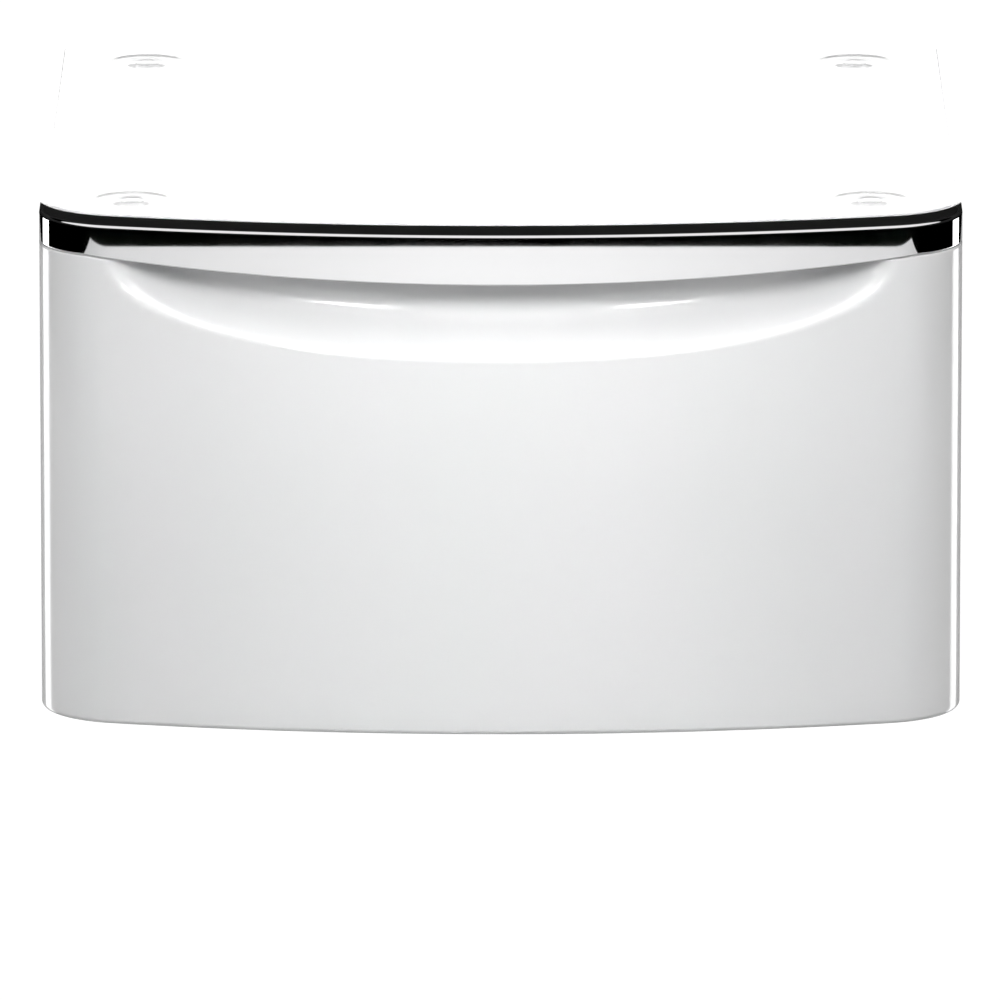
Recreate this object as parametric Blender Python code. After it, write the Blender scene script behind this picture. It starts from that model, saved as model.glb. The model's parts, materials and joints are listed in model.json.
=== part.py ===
"""Laundry pedestal: a steel base with a storage drawer that stands under a front load washer.

Metres, +Z up.  The drawer front faces -Y.  The origin is on the floor, at the middle of the
overall width and depth.  Each object is one physical piece.  Pieces that move together hang
from one empty, which stands on their joint.
"""

import math

import bmesh
import bpy
from mathutils import Vector

# Driving dimensions
WIDTH = 0.686
DEPTH = 0.735
HEIGHT = 0.394
DRAWER_TRAVEL = 0.460
FOOT_TRAVEL = 0.020

# Plan shape shared by the drawer front, the handle and the deck: one wide arc and two corner arcs
HALF = WIDTH / 2
APEX_Y = -DEPTH / 2
BOW_R = 1.180
CORNER_R = 0.068
CORNER_X = HALF - CORNER_R
CORNER_Y = APEX_Y + BOW_R - math.sqrt((BOW_R - CORNER_R) ** 2 - CORNER_X**2)
BOW_TURN = math.asin(CORNER_X / (BOW_R - CORNER_R))
BOW_STEPS = 16
CORNER_STEPS = 6
RETURN_Y = APEX_Y + 0.126

# Sheet steel
SHEET = 0.0012
GAP = 0.0005
FLANGE = 0.018

# Drawer front
FRONT_SKIN = 0.0016
FRONT_Z = 0.016
ROLL_R = 0.008
SEAM_MID_Z = 0.3567
SEAM_END_Z = 0.3712
SEAM_RISE = 0.0137
SEAM_RISE_X = 0.300
JOGGLE = 0.0026
TOP_FLANGE_X = 0.290
TOP_FLANGE_Z = 0.3885

# Finger dish in the drawer front: half of a superellipse, with its flat side up
DISH_HALF = 0.290
DISH_TOP_Z = 0.370
DISH_DROP = 0.072
DISH_POWER = 2.3
DISH_DEPTH = 0.030
DISH_RISE = 0.048
DISH_LIP = 0.15
DISH_FALL = 2.2
DISH_ROWS = 9

# Handle bar and the strip let into its top
LEDGE = 0.039
BAR_WALL = 0.002
BAR_CEILING_Z = 0.3905
BAR_REAR_Z = 0.376
BAR_HOLLOW_X = 0.312
POCKET_Z = 0.3926
RIM = 0.003
HANDLE_BRACKET_X = 0.070
BRACKET_HALF = 0.012

# Cabinet
DECK_HALF = 0.3402
DECK_SHIFT = LEDGE + 0.004
DECK_SKIN = 0.0015
DECK_SKIRT_Z = 0.372
PANEL_X = 0.3385
CABINET_FRONT = RETURN_Y + 0.003
PANEL_REAR = 0.364
PANEL_Z = 0.028
REAR_Y = DEPTH / 2
RAIL_Z = PANEL_Z + SHEET + GAP
RAIL_TOP = 0.060
RAIL_SHEET = 0.002
RAIL_FOOT = 0.020
RAIL_X = PANEL_X - FLANGE - 0.001
RAIL_FRONT = CABINET_FRONT + 0.020
RAIL_REAR = 0.360
BUMPER_Z = 0.330
SCREW_LEVELS = (("lower", 0.070), ("upper", 0.340))

# Feet
FOOT_X = 0.285
FOOT_Y = (-0.184, 0.322)
BRACKET_Z = RAIL_Z + RAIL_SHEET + 0.0003
BRACKET_T = 0.004
STEM_R = 0.005
HOLE_R = 0.0055

# Slides.  u runs from the mounting plane towards the drawer, w is up from the centre line.
SLIDE_PLANE = 0.3185
SLIDE_Z = 0.125
SLIDE_FRONT = -0.2350
SLIDE_LENGTH = 0.500
OUTER_SECTION = (0.0, 0.0112, 0.023, 0.0012)
MIDDLE_SECTION = (0.0030, 0.0110, 0.0182, 0.0012)
CAGE_LENGTH = 0.210
CAGE_FRONT = -0.090
LEVER_LENGTH = 0.040
LEVER_Y = -0.120

# Drawer box
BOX_X = 0.3053
BOX_Z = 0.067
BOX_TOP = 0.320
BOX_FRONT = CABINET_FRONT - 0.003
BOX_REAR = 0.247
INNER_FRONT_Y = BOX_FRONT - 0.0005
INNER_FRONT_DEEP = 0.0115
INNER_FRONT_X = 0.336
INNER_FRONT_Z = (0.030, 0.3635)
DIVIDER_Y = 0.020

SIDES = (("left", -1), ("right", 1))


def clear_scene():
    for item in list(bpy.data.objects):
        bpy.data.objects.remove(item, do_unlink=True)


def finish(name, color, roughness, metallic):
    material = bpy.data.materials.new(name)
    material.use_nodes = True
    shader = material.node_tree.nodes["Principled BSDF"]
    shader.inputs["Base Color"].default_value = (*color, 1)
    shader.inputs["Roughness"].default_value = roughness
    shader.inputs["Metallic"].default_value = metallic
    material.diffuse_color = (*color, 1)
    return material


def new_object(name, bm, material=None, body=None):
    """Turn a bmesh in world coordinates into an object, carried by an empty if body is given."""
    bmesh.ops.recalc_face_normals(bm, faces=bm.faces)
    mesh = bpy.data.meshes.new(name)
    bm.to_mesh(mesh)
    bm.free()
    made = bpy.data.objects.new(name, mesh)
    bpy.context.collection.objects.link(made)
    if material:
        mesh.materials.append(material)
    if body:
        for vertex in mesh.vertices:
            vertex.co -= body.location
        made.parent = body
    return made


def body_empty(name, location):
    empty = bpy.data.objects.new(name + "_joint", None)
    empty.location = location
    bpy.context.collection.objects.link(empty)
    return empty


def extrusion(name, outline, along, material=None, body=None):
    """A flat outline of points, pushed along a vector."""
    bm = bmesh.new()
    face = bm.faces.new([bm.verts.new(point) for point in outline])
    pushed = bmesh.ops.extrude_face_region(bm, geom=[face])["geom"]
    bmesh.ops.translate(
        bm, vec=along, verts=[item for item in pushed if isinstance(item, bmesh.types.BMVert)]
    )
    return new_object(name, bm, material, body)


def slab(name, plan, low_z, high_z, material=None, body=None):
    outline = [(x, y, low_z) for x, y in plan]
    return extrusion(name, outline, (0, 0, high_z - low_z), material, body)


def block(name, low, high, material=None, body=None):
    plan = [(low[0], low[1]), (high[0], low[1]), (high[0], high[1]), (low[0], high[1])]
    return slab(name, plan, low[2], high[2], material, body)


def turned(name, profile, base, axis, sides, material=None, body=None):
    """A round piece: profile is (radius, height) from its lower to its upper middle."""
    up = Vector(axis).normalized()
    out = up.orthogonal().normalized()
    bm = bmesh.new()
    points = [bm.verts.new(Vector(base) + out * radius + up * height) for radius, height in profile]
    edges = [bm.edges.new(pair) for pair in zip(points, points[1:])]
    bmesh.ops.spin(
        bm, geom=points + edges, cent=base, axis=up, dvec=(0, 0, 0),
        angle=math.tau, steps=sides, use_merge=True,
    )
    bmesh.ops.remove_doubles(bm, verts=bm.verts, dist=0.00001)
    made = new_object(name, bm, material, body)
    made.data.shade_smooth()
    made.data.set_sharp_from_angle(angle=math.radians(35))
    return made


def cut(target, cutter):
    cutter.hide_render = True
    cutter.display_type = "WIRE"
    step = target.modifiers.new(cutter.name, "BOOLEAN")
    step.operation = "DIFFERENCE"
    step.solver = "EXACT"
    step.object = cutter


def drill(target, name, middle, axis, radius, length):
    """A round hole of the given length through middle."""
    start = Vector(middle) - Vector(axis) * (length / 2)
    profile = [(0, 0), (radius, 0), (radius, length), (0, length)]
    cut(target, turned(name, profile, start, axis, 12))


def tray(name, low, high, wall, opening, material, body=None):
    """A box with one side missing; opening is that side's axis and sign, such as (0, -1)."""
    inner_low = [value + wall for value in low]
    inner_high = [value - wall for value in high]
    axis, sign = opening
    past = 0.01
    if sign > 0:
        inner_high[axis] = high[axis] + past
    else:
        inner_low[axis] = low[axis] - past
    made = block(name, low, high, material, body)
    cut(made, block(name + "_hollow", inner_low, inner_high))
    return made


# --- the bowed plan -------------------------------------------------------------------------


def bow_y(x):
    """Where the front's outer face is at x."""
    x = abs(x)
    if x <= BOW_R * math.sin(BOW_TURN):
        return APEX_Y + BOW_R - math.sqrt(BOW_R**2 - x**2)
    return CORNER_Y - math.sqrt(max(0.0, CORNER_R**2 - (x - CORNER_X) ** 2))


def bow_path():
    """Points and outward normals around the front, from its left rear end to its right one."""
    turns = [BOW_TURN * step / BOW_STEPS for step in range(BOW_STEPS + 1)]
    corner_turn = math.pi / 2 - BOW_TURN
    turns += [BOW_TURN + corner_turn * step / CORNER_STEPS for step in range(1, CORNER_STEPS + 1)]
    half = []
    for turn in turns:
        normal = Vector((math.sin(turn), -math.cos(turn)))
        if turn <= BOW_TURN:
            half.append((Vector((0, APEX_Y + BOW_R)) + normal * BOW_R, normal))
        else:
            half.append((Vector((CORNER_X, CORNER_Y)) + normal * CORNER_R, normal))
    half.append((Vector((HALF, RETURN_Y)), Vector((1, 0))))
    mirrored = [(Vector((-p.x, p.y)), Vector((-n.x, n.y))) for p, n in reversed(half[1:])]
    return mirrored + half


def crescent(inset, rear_inset, limit=HALF):
    """Plan of the ledge between the bow and its copy LEDGE further back, inset all round."""
    front = [p - n * inset for p, n in bow_path() if p.y <= RETURN_Y - rear_inset]
    front = [p for p in front if abs(p.x) < limit]
    end_x = min(limit, HALF - inset)
    steps = 2 * (BOW_STEPS + CORNER_STEPS)
    across = [end_x * (1 - 2 * step / steps) for step in range(steps + 1)]
    rear = [Vector((x, bow_y(x) + LEDGE - rear_inset)) for x in across]
    rear = [p for p in rear if p.y <= RETURN_Y - rear_inset]
    if limit < HALF:
        ends = [Vector((limit, bow_y(limit) + inset)), Vector((-limit, bow_y(limit) + inset))]
        front = [ends[1], *front, ends[0]]
    else:
        side_x = HALF - inset
        side_y = RETURN_Y - rear_inset
        front = [p for p in front if p.y < side_y - 0.0001]
        front = [Vector((-side_x, side_y)), *front, Vector((side_x, side_y))]
    return [tuple(p) for p in front + rear]


def seam_z(x):
    """Lower edge of the handle bar: a shallow arc, level at both ends."""
    return min(SEAM_END_Z, SEAM_MID_Z + SEAM_RISE * (x / SEAM_RISE_X) ** 2)


def dish_depth(x, z):
    """How far the finger dish goes in at a point of the drawer front."""
    across = abs(x) / DISH_HALF
    down = max(0.0, DISH_TOP_Z - z) / DISH_DROP
    reach = (across**DISH_POWER + down**DISH_POWER) ** (1 / DISH_POWER)
    if reach >= 1:
        return 0.0
    if reach < 0.2:
        return DISH_DEPTH
    power = DISH_POWER - 1
    slope = math.hypot(across**power / DISH_HALF, down**power / DISH_DROP) / reach**power
    inside = min(1.0, (1 - reach) / slope / DISH_RISE)
    eased = inside**2 * (1 + DISH_LIP) / (inside + DISH_LIP)
    return DISH_DEPTH * (1 - (1 - eased) ** DISH_FALL)


def front_rows(x):
    """(height, inset) up the drawer front at x: rolled foot, face, dish, joggle, top flange."""
    rows = []
    for degrees in (60, 30, 0):
        turn = math.radians(degrees)
        rows.append((FRONT_Z + ROLL_R * (1 - math.sin(turn)), ROLL_R * (1 - math.cos(turn))))
    dish_start = DISH_TOP_Z - DISH_DROP - 0.004
    rows += [(0.110, 0.0), (0.200, 0.0)]
    seam = seam_z(x) - 0.0022
    for step in range(DISH_ROWS + 1):
        z = dish_start + (seam - dish_start) * step / DISH_ROWS
        rows.append((z, dish_depth(x, z)))
    top = TOP_FLANGE_Z if abs(x) <= TOP_FLANGE_X else seam_z(x) - 0.0004
    joggle = seam_z(x) - 0.0010
    rows.append((joggle, max(JOGGLE, dish_depth(x, joggle))))
    rows.append((top, max(JOGGLE, dish_depth(x, top))))
    return rows


def skin_solid(name, outer, inner, material, body):
    """Close the space between two grids of points that have the same rows and columns."""
    bm = bmesh.new()
    grids = [[[bm.verts.new(point) for point in row] for row in grid] for grid in (outer, inner)]
    rows = len(outer)
    columns = len(outer[0])
    for grid in grids:
        for r in range(rows - 1):
            for c in range(columns - 1):
                bm.faces.new([grid[r][c], grid[r][c + 1], grid[r + 1][c + 1], grid[r + 1][c]])
    rim = [(0, c) for c in range(columns)] + [(r, columns - 1) for r in range(1, rows)]
    rim += [(rows - 1, c) for c in range(columns - 2, -1, -1)] + [(r, 0) for r in range(rows - 2, 0, -1)]
    for (r1, c1), (r2, c2) in zip(rim, rim[1:] + rim[:1]):
        bm.faces.new([grids[0][r1][c1], grids[0][r2][c2], grids[1][r2][c2], grids[1][r1][c1]])
    return new_object(name, bm, material, body)


# --- drawer ---------------------------------------------------------------------------------


def drawer_front(material, body):
    outer = []
    inner = []
    columns = [(point, normal, front_rows(point.x)) for point, normal in bow_path()]
    for row in range(len(columns[0][2])):
        outer.append([])
        inner.append([])
        for point, normal, rows in columns:
            z, inset = rows[row]
            face = point - normal * inset
            back = point - normal * (inset + FRONT_SKIN)
            outer[-1].append((face.x, face.y, z))
            inner[-1].append((back.x, back.y, z))
    return skin_solid("drawer_front", outer, inner, material, body)


def handle_bar(material, body):
    """Hollow bar, open below: front wall, top and rear wall, with solid ends."""
    bar = slab("handle_bar", crescent(0, 0), 0.350, HEIGHT, material, body)
    hollow_plan = crescent(BAR_WALL, BAR_WALL, BAR_HOLLOW_X)
    cut(bar, slab("bar_hollow", hollow_plan, 0.340, BAR_CEILING_Z))
    arc = [(x / 20 * HALF * 1.01, seam_z(x / 20 * HALF)) for x in range(-20, 21)]
    below = [(x, APEX_Y - 0.01, z) for x, z in arc]
    below += [(HALF * 1.01, APEX_Y - 0.01, 0.340), (-HALF * 1.01, APEX_Y - 0.01, 0.340)]
    cut(bar, extrusion("bar_lower_edge", below, (0, 0.14, 0)))
    middle_shift = LEDGE / 2
    stations = [HALF * 0.9 * (step / 16 - 1) for step in range(33)]
    rear = [(x, bow_y(x) + middle_shift) for x in stations]
    rear += [(x, bow_y(x) + LEDGE + 0.02) for x in reversed(stations)]
    cut(bar, slab("bar_rear_edge", rear, 0.335, BAR_REAR_Z))
    pocket = slab("bar_pocket", crescent(RIM, 0.0008), POCKET_Z, HEIGHT + 0.01)
    cut(bar, pocket)
    return bar


def handle_inlay(material, body):
    plan = crescent(RIM + 0.0004, 0.0012)
    return slab("handle_inlay", plan, POCKET_Z + 0.0003, HEIGHT, material, body)


def top_cap(material, body):
    """Plate that closes the hollow drawer front between the handle and the inner panel."""
    half = INNER_FRONT_X
    stations = [half * step / 12 for step in range(-12, 13)]
    plan = [(x, min(bow_y(x) + LEDGE + 0.002, INNER_FRONT_Y - INNER_FRONT_DEEP)) for x in stations]
    plan += [(half, BOX_FRONT), (-half, BOX_FRONT)]
    low = INNER_FRONT_Z[1] + GAP
    return slab("drawer_top_cap", plan, low, low + 0.0015, material, body)


def handle_brackets(steel, screw_steel, body, bar):
    """Angle brackets that carry the handle bar on the drawer's inner panel, each with a screw."""
    half = BRACKET_HALF
    for side, sign in SIDES:
        x = sign * HANDLE_BRACKET_X
        rear = bow_y(HANDLE_BRACKET_X - half) + LEDGE - BAR_WALL - GAP
        plate = rear - 0.002
        leg_z = 0.3565
        back = INNER_FRONT_Y - INNER_FRONT_DEEP - GAP
        section = [
            (plate, 0.3880), (rear, 0.3880), (rear, leg_z),
            (back, leg_z), (back, leg_z - 0.002), (plate, leg_z - 0.002),
        ]
        outline = [(x - half, y, z) for y, z in section]
        bracket = extrusion("handle_bracket_" + side, outline, (2 * half, 0, 0), steel, body)
        height = 0.3835
        head_y = bow_y(x) + LEDGE + 0.0006
        shank = 0.0062
        drill(bracket, "bracket_hole_" + side, (x, rear, height), (0, 1, 0), 0.0024, 0.020)
        drill(bar, "bar_hole_" + side, (x, rear + 0.002, height), (0, 1, 0), 0.0024, 0.006)
        profile = [(0, 0), (0.0019, 0), (0.0019, shank), (0.0038, shank)]
        profile += [(0.0034, shank + 0.0016), (0, shank + 0.0016)]
        base = (x, head_y - shank, height)
        turned("handle_screw_" + side, profile, base, (0, 1, 0), 12, screw_steel, body)


def drawer_sides(material, body):
    for side, sign in SIDES:
        outer = sign * BOX_X
        inner = sign * (BOX_X - SHEET)
        foot = sign * (BOX_X - 0.015)
        lip = sign * (BOX_X - 0.012)
        section = [
            (outer, BOX_Z), (foot, BOX_Z), (foot, BOX_Z + SHEET), (inner, BOX_Z + SHEET),
            (inner, BOX_TOP - SHEET), (lip, BOX_TOP - SHEET), (lip, BOX_TOP), (outer, BOX_TOP),
        ]
        outline = [(x, BOX_FRONT + GAP, z) for x, z in section]
        extrusion(
            "drawer_" + side + "_side", outline, (0, BOX_REAR - BOX_FRONT - GAP, 0), material, body
        )


def drawer_box(enamel, steel, body):
    drawer_sides(steel, body)
    floor_x = BOX_X - SHEET - GAP
    floor_z = BOX_Z + SHEET + GAP
    low = (-floor_x, BOX_FRONT + GAP, floor_z)
    block("drawer_bottom", low, (floor_x, BOX_REAR, floor_z + SHEET), steel, body)
    wall_y = BOX_REAR - SHEET - 0.0010
    wall_z = floor_z + SHEET + GAP
    wall_top = BOX_TOP - SHEET - GAP
    section = [
        (wall_y + SHEET, wall_z), (wall_y + SHEET, wall_top), (wall_y - 0.012, wall_top),
        (wall_y - 0.012, wall_top - SHEET), (wall_y, wall_top - SHEET), (wall_y, wall_z),
    ]
    outline = [(-floor_x, y, z) for y, z in section]
    extrusion("drawer_back", outline, (2 * floor_x, 0, 0), steel, body)
    inner_low = (-INNER_FRONT_X, INNER_FRONT_Y - INNER_FRONT_DEEP, INNER_FRONT_Z[0])
    inner_high = (INNER_FRONT_X, INNER_FRONT_Y, INNER_FRONT_Z[1])
    tray("drawer_inner_front", inner_low, inner_high, SHEET, (1, -1), enamel, body)


def divider(material, body):
    """Cross divider that drops between the drawer sides, with a rolled top edge."""
    low = BOX_Z + 2 * SHEET + 3 * GAP
    top = 0.270
    section = [
        (DIVIDER_Y - 0.00075, low), (DIVIDER_Y + 0.00075, low), (DIVIDER_Y + 0.00075, top - 0.006),
        (DIVIDER_Y + 0.004, top - 0.006), (DIVIDER_Y + 0.004, top), (DIVIDER_Y - 0.004, top),
        (DIVIDER_Y - 0.004, top - 0.006), (DIVIDER_Y - 0.00075, top - 0.006),
    ]
    half = BOX_X - 0.013
    outline = [(-half, y, z) for y, z in section]
    extrusion("drawer_divider", outline, (2 * half, 0, 0), material, body)


# --- slides ---------------------------------------------------------------------------------


def channel(web, tip, half_height, thickness):
    """C section as (u, w) points, with its web at u = web and its flanges reaching to tip."""
    inner = web + thickness if tip > web else web - thickness
    side = half_height - thickness
    return [
        (web, -half_height), (tip, -half_height), (tip, -side), (inner, -side),
        (inner, side), (tip, side), (tip, half_height), (web, half_height),
    ]


def slide_piece(name, section, sign, front, length, material, body=None):
    outline = [(sign * (SLIDE_PLANE - u), front, SLIDE_Z + w) for u, w in section]
    return extrusion(name, outline, (0, length, 0), material, body)


def slides(steel, plastic, bodies):
    for side, sign in SIDES:
        slide_piece(
            "slide_outer_" + side, channel(*OUTER_SECTION), sign, SLIDE_FRONT, SLIDE_LENGTH, steel
        )
        slide_piece(
            "slide_middle_" + side, channel(*MIDDLE_SECTION), sign, SLIDE_FRONT, SLIDE_LENGTH,
            steel, bodies["slide_middle_" + side],
        )
        slide_piece(
            "slide_inner_" + side, channel(0.0127, 0.0065, 0.0142, 0.0012), sign,
            SLIDE_FRONT, SLIDE_LENGTH, steel, bodies["drawer"],
        )
        slide_piece(
            "ball_cage_outer_" + side, channel(0.0016, 0.0095, 0.0206, 0.0008), sign,
            CAGE_FRONT, CAGE_LENGTH, steel, bodies["ball_cage_outer_" + side],
        )
        slide_piece(
            "ball_cage_inner_" + side, channel(0.0046, 0.0098, 0.0161, 0.0008), sign,
            CAGE_FRONT, CAGE_LENGTH, steel, bodies["ball_cage_inner_" + side],
        )
        release_lever(side, sign, plastic, bodies["release_lever_" + side])


def release_lever(side, sign, material, body):
    """Flat lever inside the slide's inner member: round at its pivot, with a finger pad in front."""
    outline = []
    for step in range(7):
        turn = math.pi * (step / 6 - 0.5)
        outline.append((LEVER_Y + 0.004 * math.cos(turn), 0.004 * math.sin(turn)))
    outline += [(LEVER_Y - LEVER_LENGTH, 0.0025), (LEVER_Y - LEVER_LENGTH, -0.0040)]
    outline += [(LEVER_Y - LEVER_LENGTH + 0.008, -0.0040)]
    x = sign * (SLIDE_PLANE - 0.0075)
    points = [(x, y, SLIDE_Z + z) for y, z in outline]
    extrusion("release_lever_" + side, points, (-sign * 0.0030, 0, 0), material, body)


def slide_mounts(steel):
    """Plates that carry the slides between the front and rear flanges of each side panel."""
    for side, sign in SIDES:
        plate = sign * (SLIDE_PLANE + GAP)
        outer = sign * (SLIDE_PLANE + GAP + SHEET)
        tab = sign * 0.3350
        front = CABINET_FRONT + SHEET + GAP
        rear = PANEL_REAR - SHEET - GAP
        plan = [
            (tab, front), (plate, front), (plate, rear), (tab, rear),
            (tab, rear - SHEET), (outer, rear - SHEET), (outer, front + SHEET), (tab, front + SHEET),
        ]
        slab("slide_mount_" + side, plan, SLIDE_Z - 0.032, SLIDE_Z + 0.032, steel)


# --- cabinet --------------------------------------------------------------------------------


def deck(material):
    """Top of the cabinet: a folded lid whose front edge follows the bow."""
    across = [point.x for point, _ in bow_path() if abs(point.x) < DECK_HALF]
    across = [-DECK_HALF, *across, DECK_HALF]

    def plan(inset):
        half = DECK_HALF - inset
        front = [(x * half / DECK_HALF, bow_y(x) + DECK_SHIFT + inset) for x in across]
        return front + [(half, REAR_Y - inset), (-half, REAR_Y - inset)]

    lid = slab("deck_panel", plan(0), DECK_SKIRT_Z, HEIGHT, material)
    cut(lid, slab("deck_hollow", plan(SHEET), DECK_SKIRT_Z - 0.01, HEIGHT - DECK_SKIN))
    for row, y in (("front", -0.230), ("rear", 0.310)):
        for side, sign in SIDES:
            name = "deck_hole_" + row + "_" + side
            drill(lid, name, (sign * 0.275, y, HEIGHT), (0, 0, 1), 0.0065, 0.010)


def side_panels(material):
    for side, sign in SIDES:
        edges = sorted((sign * PANEL_X, sign * (PANEL_X - FLANGE)))
        low = (edges[0], CABINET_FRONT, PANEL_Z)
        high = (edges[1], PANEL_REAR, HEIGHT - DECK_SKIN - 0.0007)
        panel = tray(side + "_side_panel", low, high, SHEET, (0, -sign), material)
        x = sign * (PANEL_X - FLANGE / 2)
        drill(panel, side + "_bumper_hole", (x, CABINET_FRONT, BUMPER_Z), (0, 1, 0), 0.0030, 0.01)
        for level, z in SCREW_LEVELS:
            drill(panel, side + "_hole_" + level, (x, PANEL_REAR, z), (0, 1, 0), 0.0026, 0.01)


def rear_panel(material, screw_steel):
    half = PANEL_X - 0.002
    low = (-half, PANEL_REAR + GAP, PANEL_Z + 0.004)
    high = (half, PANEL_REAR + GAP + SHEET, HEIGHT - DECK_SKIN - 0.0010)
    panel = block("rear_panel", low, high, material)
    head = PANEL_REAR + GAP + SHEET + 0.0003
    for side, sign in SIDES:
        x = sign * (PANEL_X - FLANGE / 2)
        for level, z in SCREW_LEVELS:
            name = level + "_" + side
            drill(panel, "rear_hole_" + name, (x, PANEL_REAR, z), (0, 1, 0), 0.0026, 0.01)
            profile = [(0, 0), (0.0021, 0), (0.0021, 0.010), (0.0042, 0.010)]
            profile += [(0.0036, 0.0115), (0, 0.0115)]
            turned("rear_screw_" + name, profile, (x, head - 0.010, z), (0, 1, 0), 12, screw_steel)


def bumpers(rubber):
    """Push-in buffers on the cabinet's front flanges, which the closed drawer rests against."""
    for side, sign in SIDES:
        x = sign * (PANEL_X - FLANGE / 2)
        face = BOX_FRONT + 0.0003
        deep = CABINET_FRONT - 0.0003 - face
        profile = [(0, 0), (0.0052, 0), (0.0060, deep), (0.0025, deep), (0.0022, deep + 0.006), (0, deep + 0.006)]
        turned("drawer_bumper_" + side, profile, (x, face, BUMPER_Z), (0, 1, 0), 12, rubber)


def base_rails(material):
    """Four angle rails that stand on the side panels' lower flanges."""
    side_section = [
        (RAIL_X, RAIL_Z), (RAIL_X - RAIL_FOOT, RAIL_Z), (RAIL_X - RAIL_FOOT, RAIL_Z + RAIL_SHEET),
        (RAIL_X - RAIL_SHEET, RAIL_Z + RAIL_SHEET), (RAIL_X - RAIL_SHEET, RAIL_TOP), (RAIL_X, RAIL_TOP),
    ]
    for side, sign in SIDES:
        outline = [(sign * x, RAIL_FRONT, z) for x, z in side_section]
        extrusion(side + "_base_rail", outline, (0, RAIL_REAR - RAIL_FRONT, 0), material)
    half = RAIL_X - RAIL_FOOT - GAP
    for name, wall, inward in (("front", RAIL_FRONT, 1), ("rear", RAIL_REAR, -1)):
        section = [
            (wall, RAIL_Z), (wall + inward * RAIL_FOOT, RAIL_Z),
            (wall + inward * RAIL_FOOT, RAIL_Z + RAIL_SHEET),
            (wall + inward * RAIL_SHEET, RAIL_Z + RAIL_SHEET),
            (wall + inward * RAIL_SHEET, RAIL_TOP), (wall, RAIL_TOP),
        ]
        outline = [(-half, y, z) for y, z in section]
        extrusion(name + "_base_rail", outline, (2 * half, 0, 0), material)


def deck_crossmember(material):
    """Channel under the deck, across the cabinet's mouth."""
    front = CABINET_FRONT + SHEET + GAP
    rear = front + 0.030
    top = HEIGHT - DECK_SKIN - GAP
    low = 0.3690
    section = [
        (front, low), (rear, low), (rear, low + SHEET), (front + SHEET, low + SHEET),
        (front + SHEET, top - SHEET), (rear, top - SHEET), (rear, top), (front, top),
    ]
    half = PANEL_X - FLANGE - GAP
    outline = [(-half, y, z) for y, z in section]
    extrusion("deck_crossmember", outline, (2 * half, 0, 0), material)


def feet(steel, zinc, rubber, bodies):
    """Corner brackets, lock nuts, threaded stems and rubber pads."""
    for row, y in zip(("front", "rear"), FOOT_Y):
        for side, sign in SIDES:
            corner = row + "_" + side
            x = sign * FOOT_X
            if row == "front":
                span = (RAIL_FRONT + RAIL_SHEET + GAP, y + 0.025)
            else:
                span = (y - 0.025, RAIL_REAR - RAIL_SHEET - GAP)
            edges = sorted((sign * 0.262, sign * (RAIL_X - RAIL_SHEET - GAP)))
            low = (edges[0], span[0], BRACKET_Z)
            high = (edges[1], span[1], BRACKET_Z + BRACKET_T)
            bracket = block("foot_bracket_" + corner, low, high, steel)
            drill(bracket, "foot_hole_" + corner, (x, y, BRACKET_Z), (0, 0, 1), HOLE_R, 0.02)
            nut_z = BRACKET_Z - 0.0003 - 0.0070
            profile = [(0, 0), (0.0092, 0), (0.0092, 0.0070), (0, 0.0070)]
            nut = turned("foot_lock_nut_" + corner, profile, (x, y, nut_z), (0, 0, 1), 6, zinc)
            drill(nut, "nut_hole_" + corner, (x, y, nut_z), (0, 0, 1), HOLE_R, 0.03)
            body = bodies["foot_" + corner]
            stem = [(0, 0.005), (0.014, 0.005), (0.014, 0.0125), (0.0095, 0.0130), (0.0095, 0.0190)]
            stem += [(STEM_R, 0.0190), (STEM_R, 0.0650), (0, 0.0660)]
            turned("foot_stem_" + corner, stem, (x, y, 0), (0, 0, 1), 12, zinc, body)
            pad = [(0, 0), (0.0195, 0), (0.0200, 0.001), (0.0200, 0.0085), (0.0175, 0.0115)]
            pad += [(0.0145, 0.0115), (0.0145, 0.0046), (0, 0.0046)]
            turned("foot_pad_" + corner, pad, (x, y, 0), (0, 0, 1), 20, rubber, body)


def body_empties():
    bodies = {"drawer": body_empty("drawer", (0, 0, SLIDE_Z))}
    for side, sign in SIDES:
        x = sign * SLIDE_PLANE
        for name in ("slide_middle_", "ball_cage_outer_", "ball_cage_inner_"):
            bodies[name + side] = body_empty(name + side, (x, 0, SLIDE_Z))
        bodies["release_lever_" + side] = body_empty("release_lever_" + side, (x, LEVER_Y, SLIDE_Z))
        for row, y in zip(("front", "rear"), FOOT_Y):
            name = "foot_" + row + "_" + side
            bodies[name] = body_empty(name, (sign * FOOT_X, y, 0))
    bodies["divider"] = body_empty("divider", (0, DIVIDER_Y, 0))
    return bodies


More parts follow.
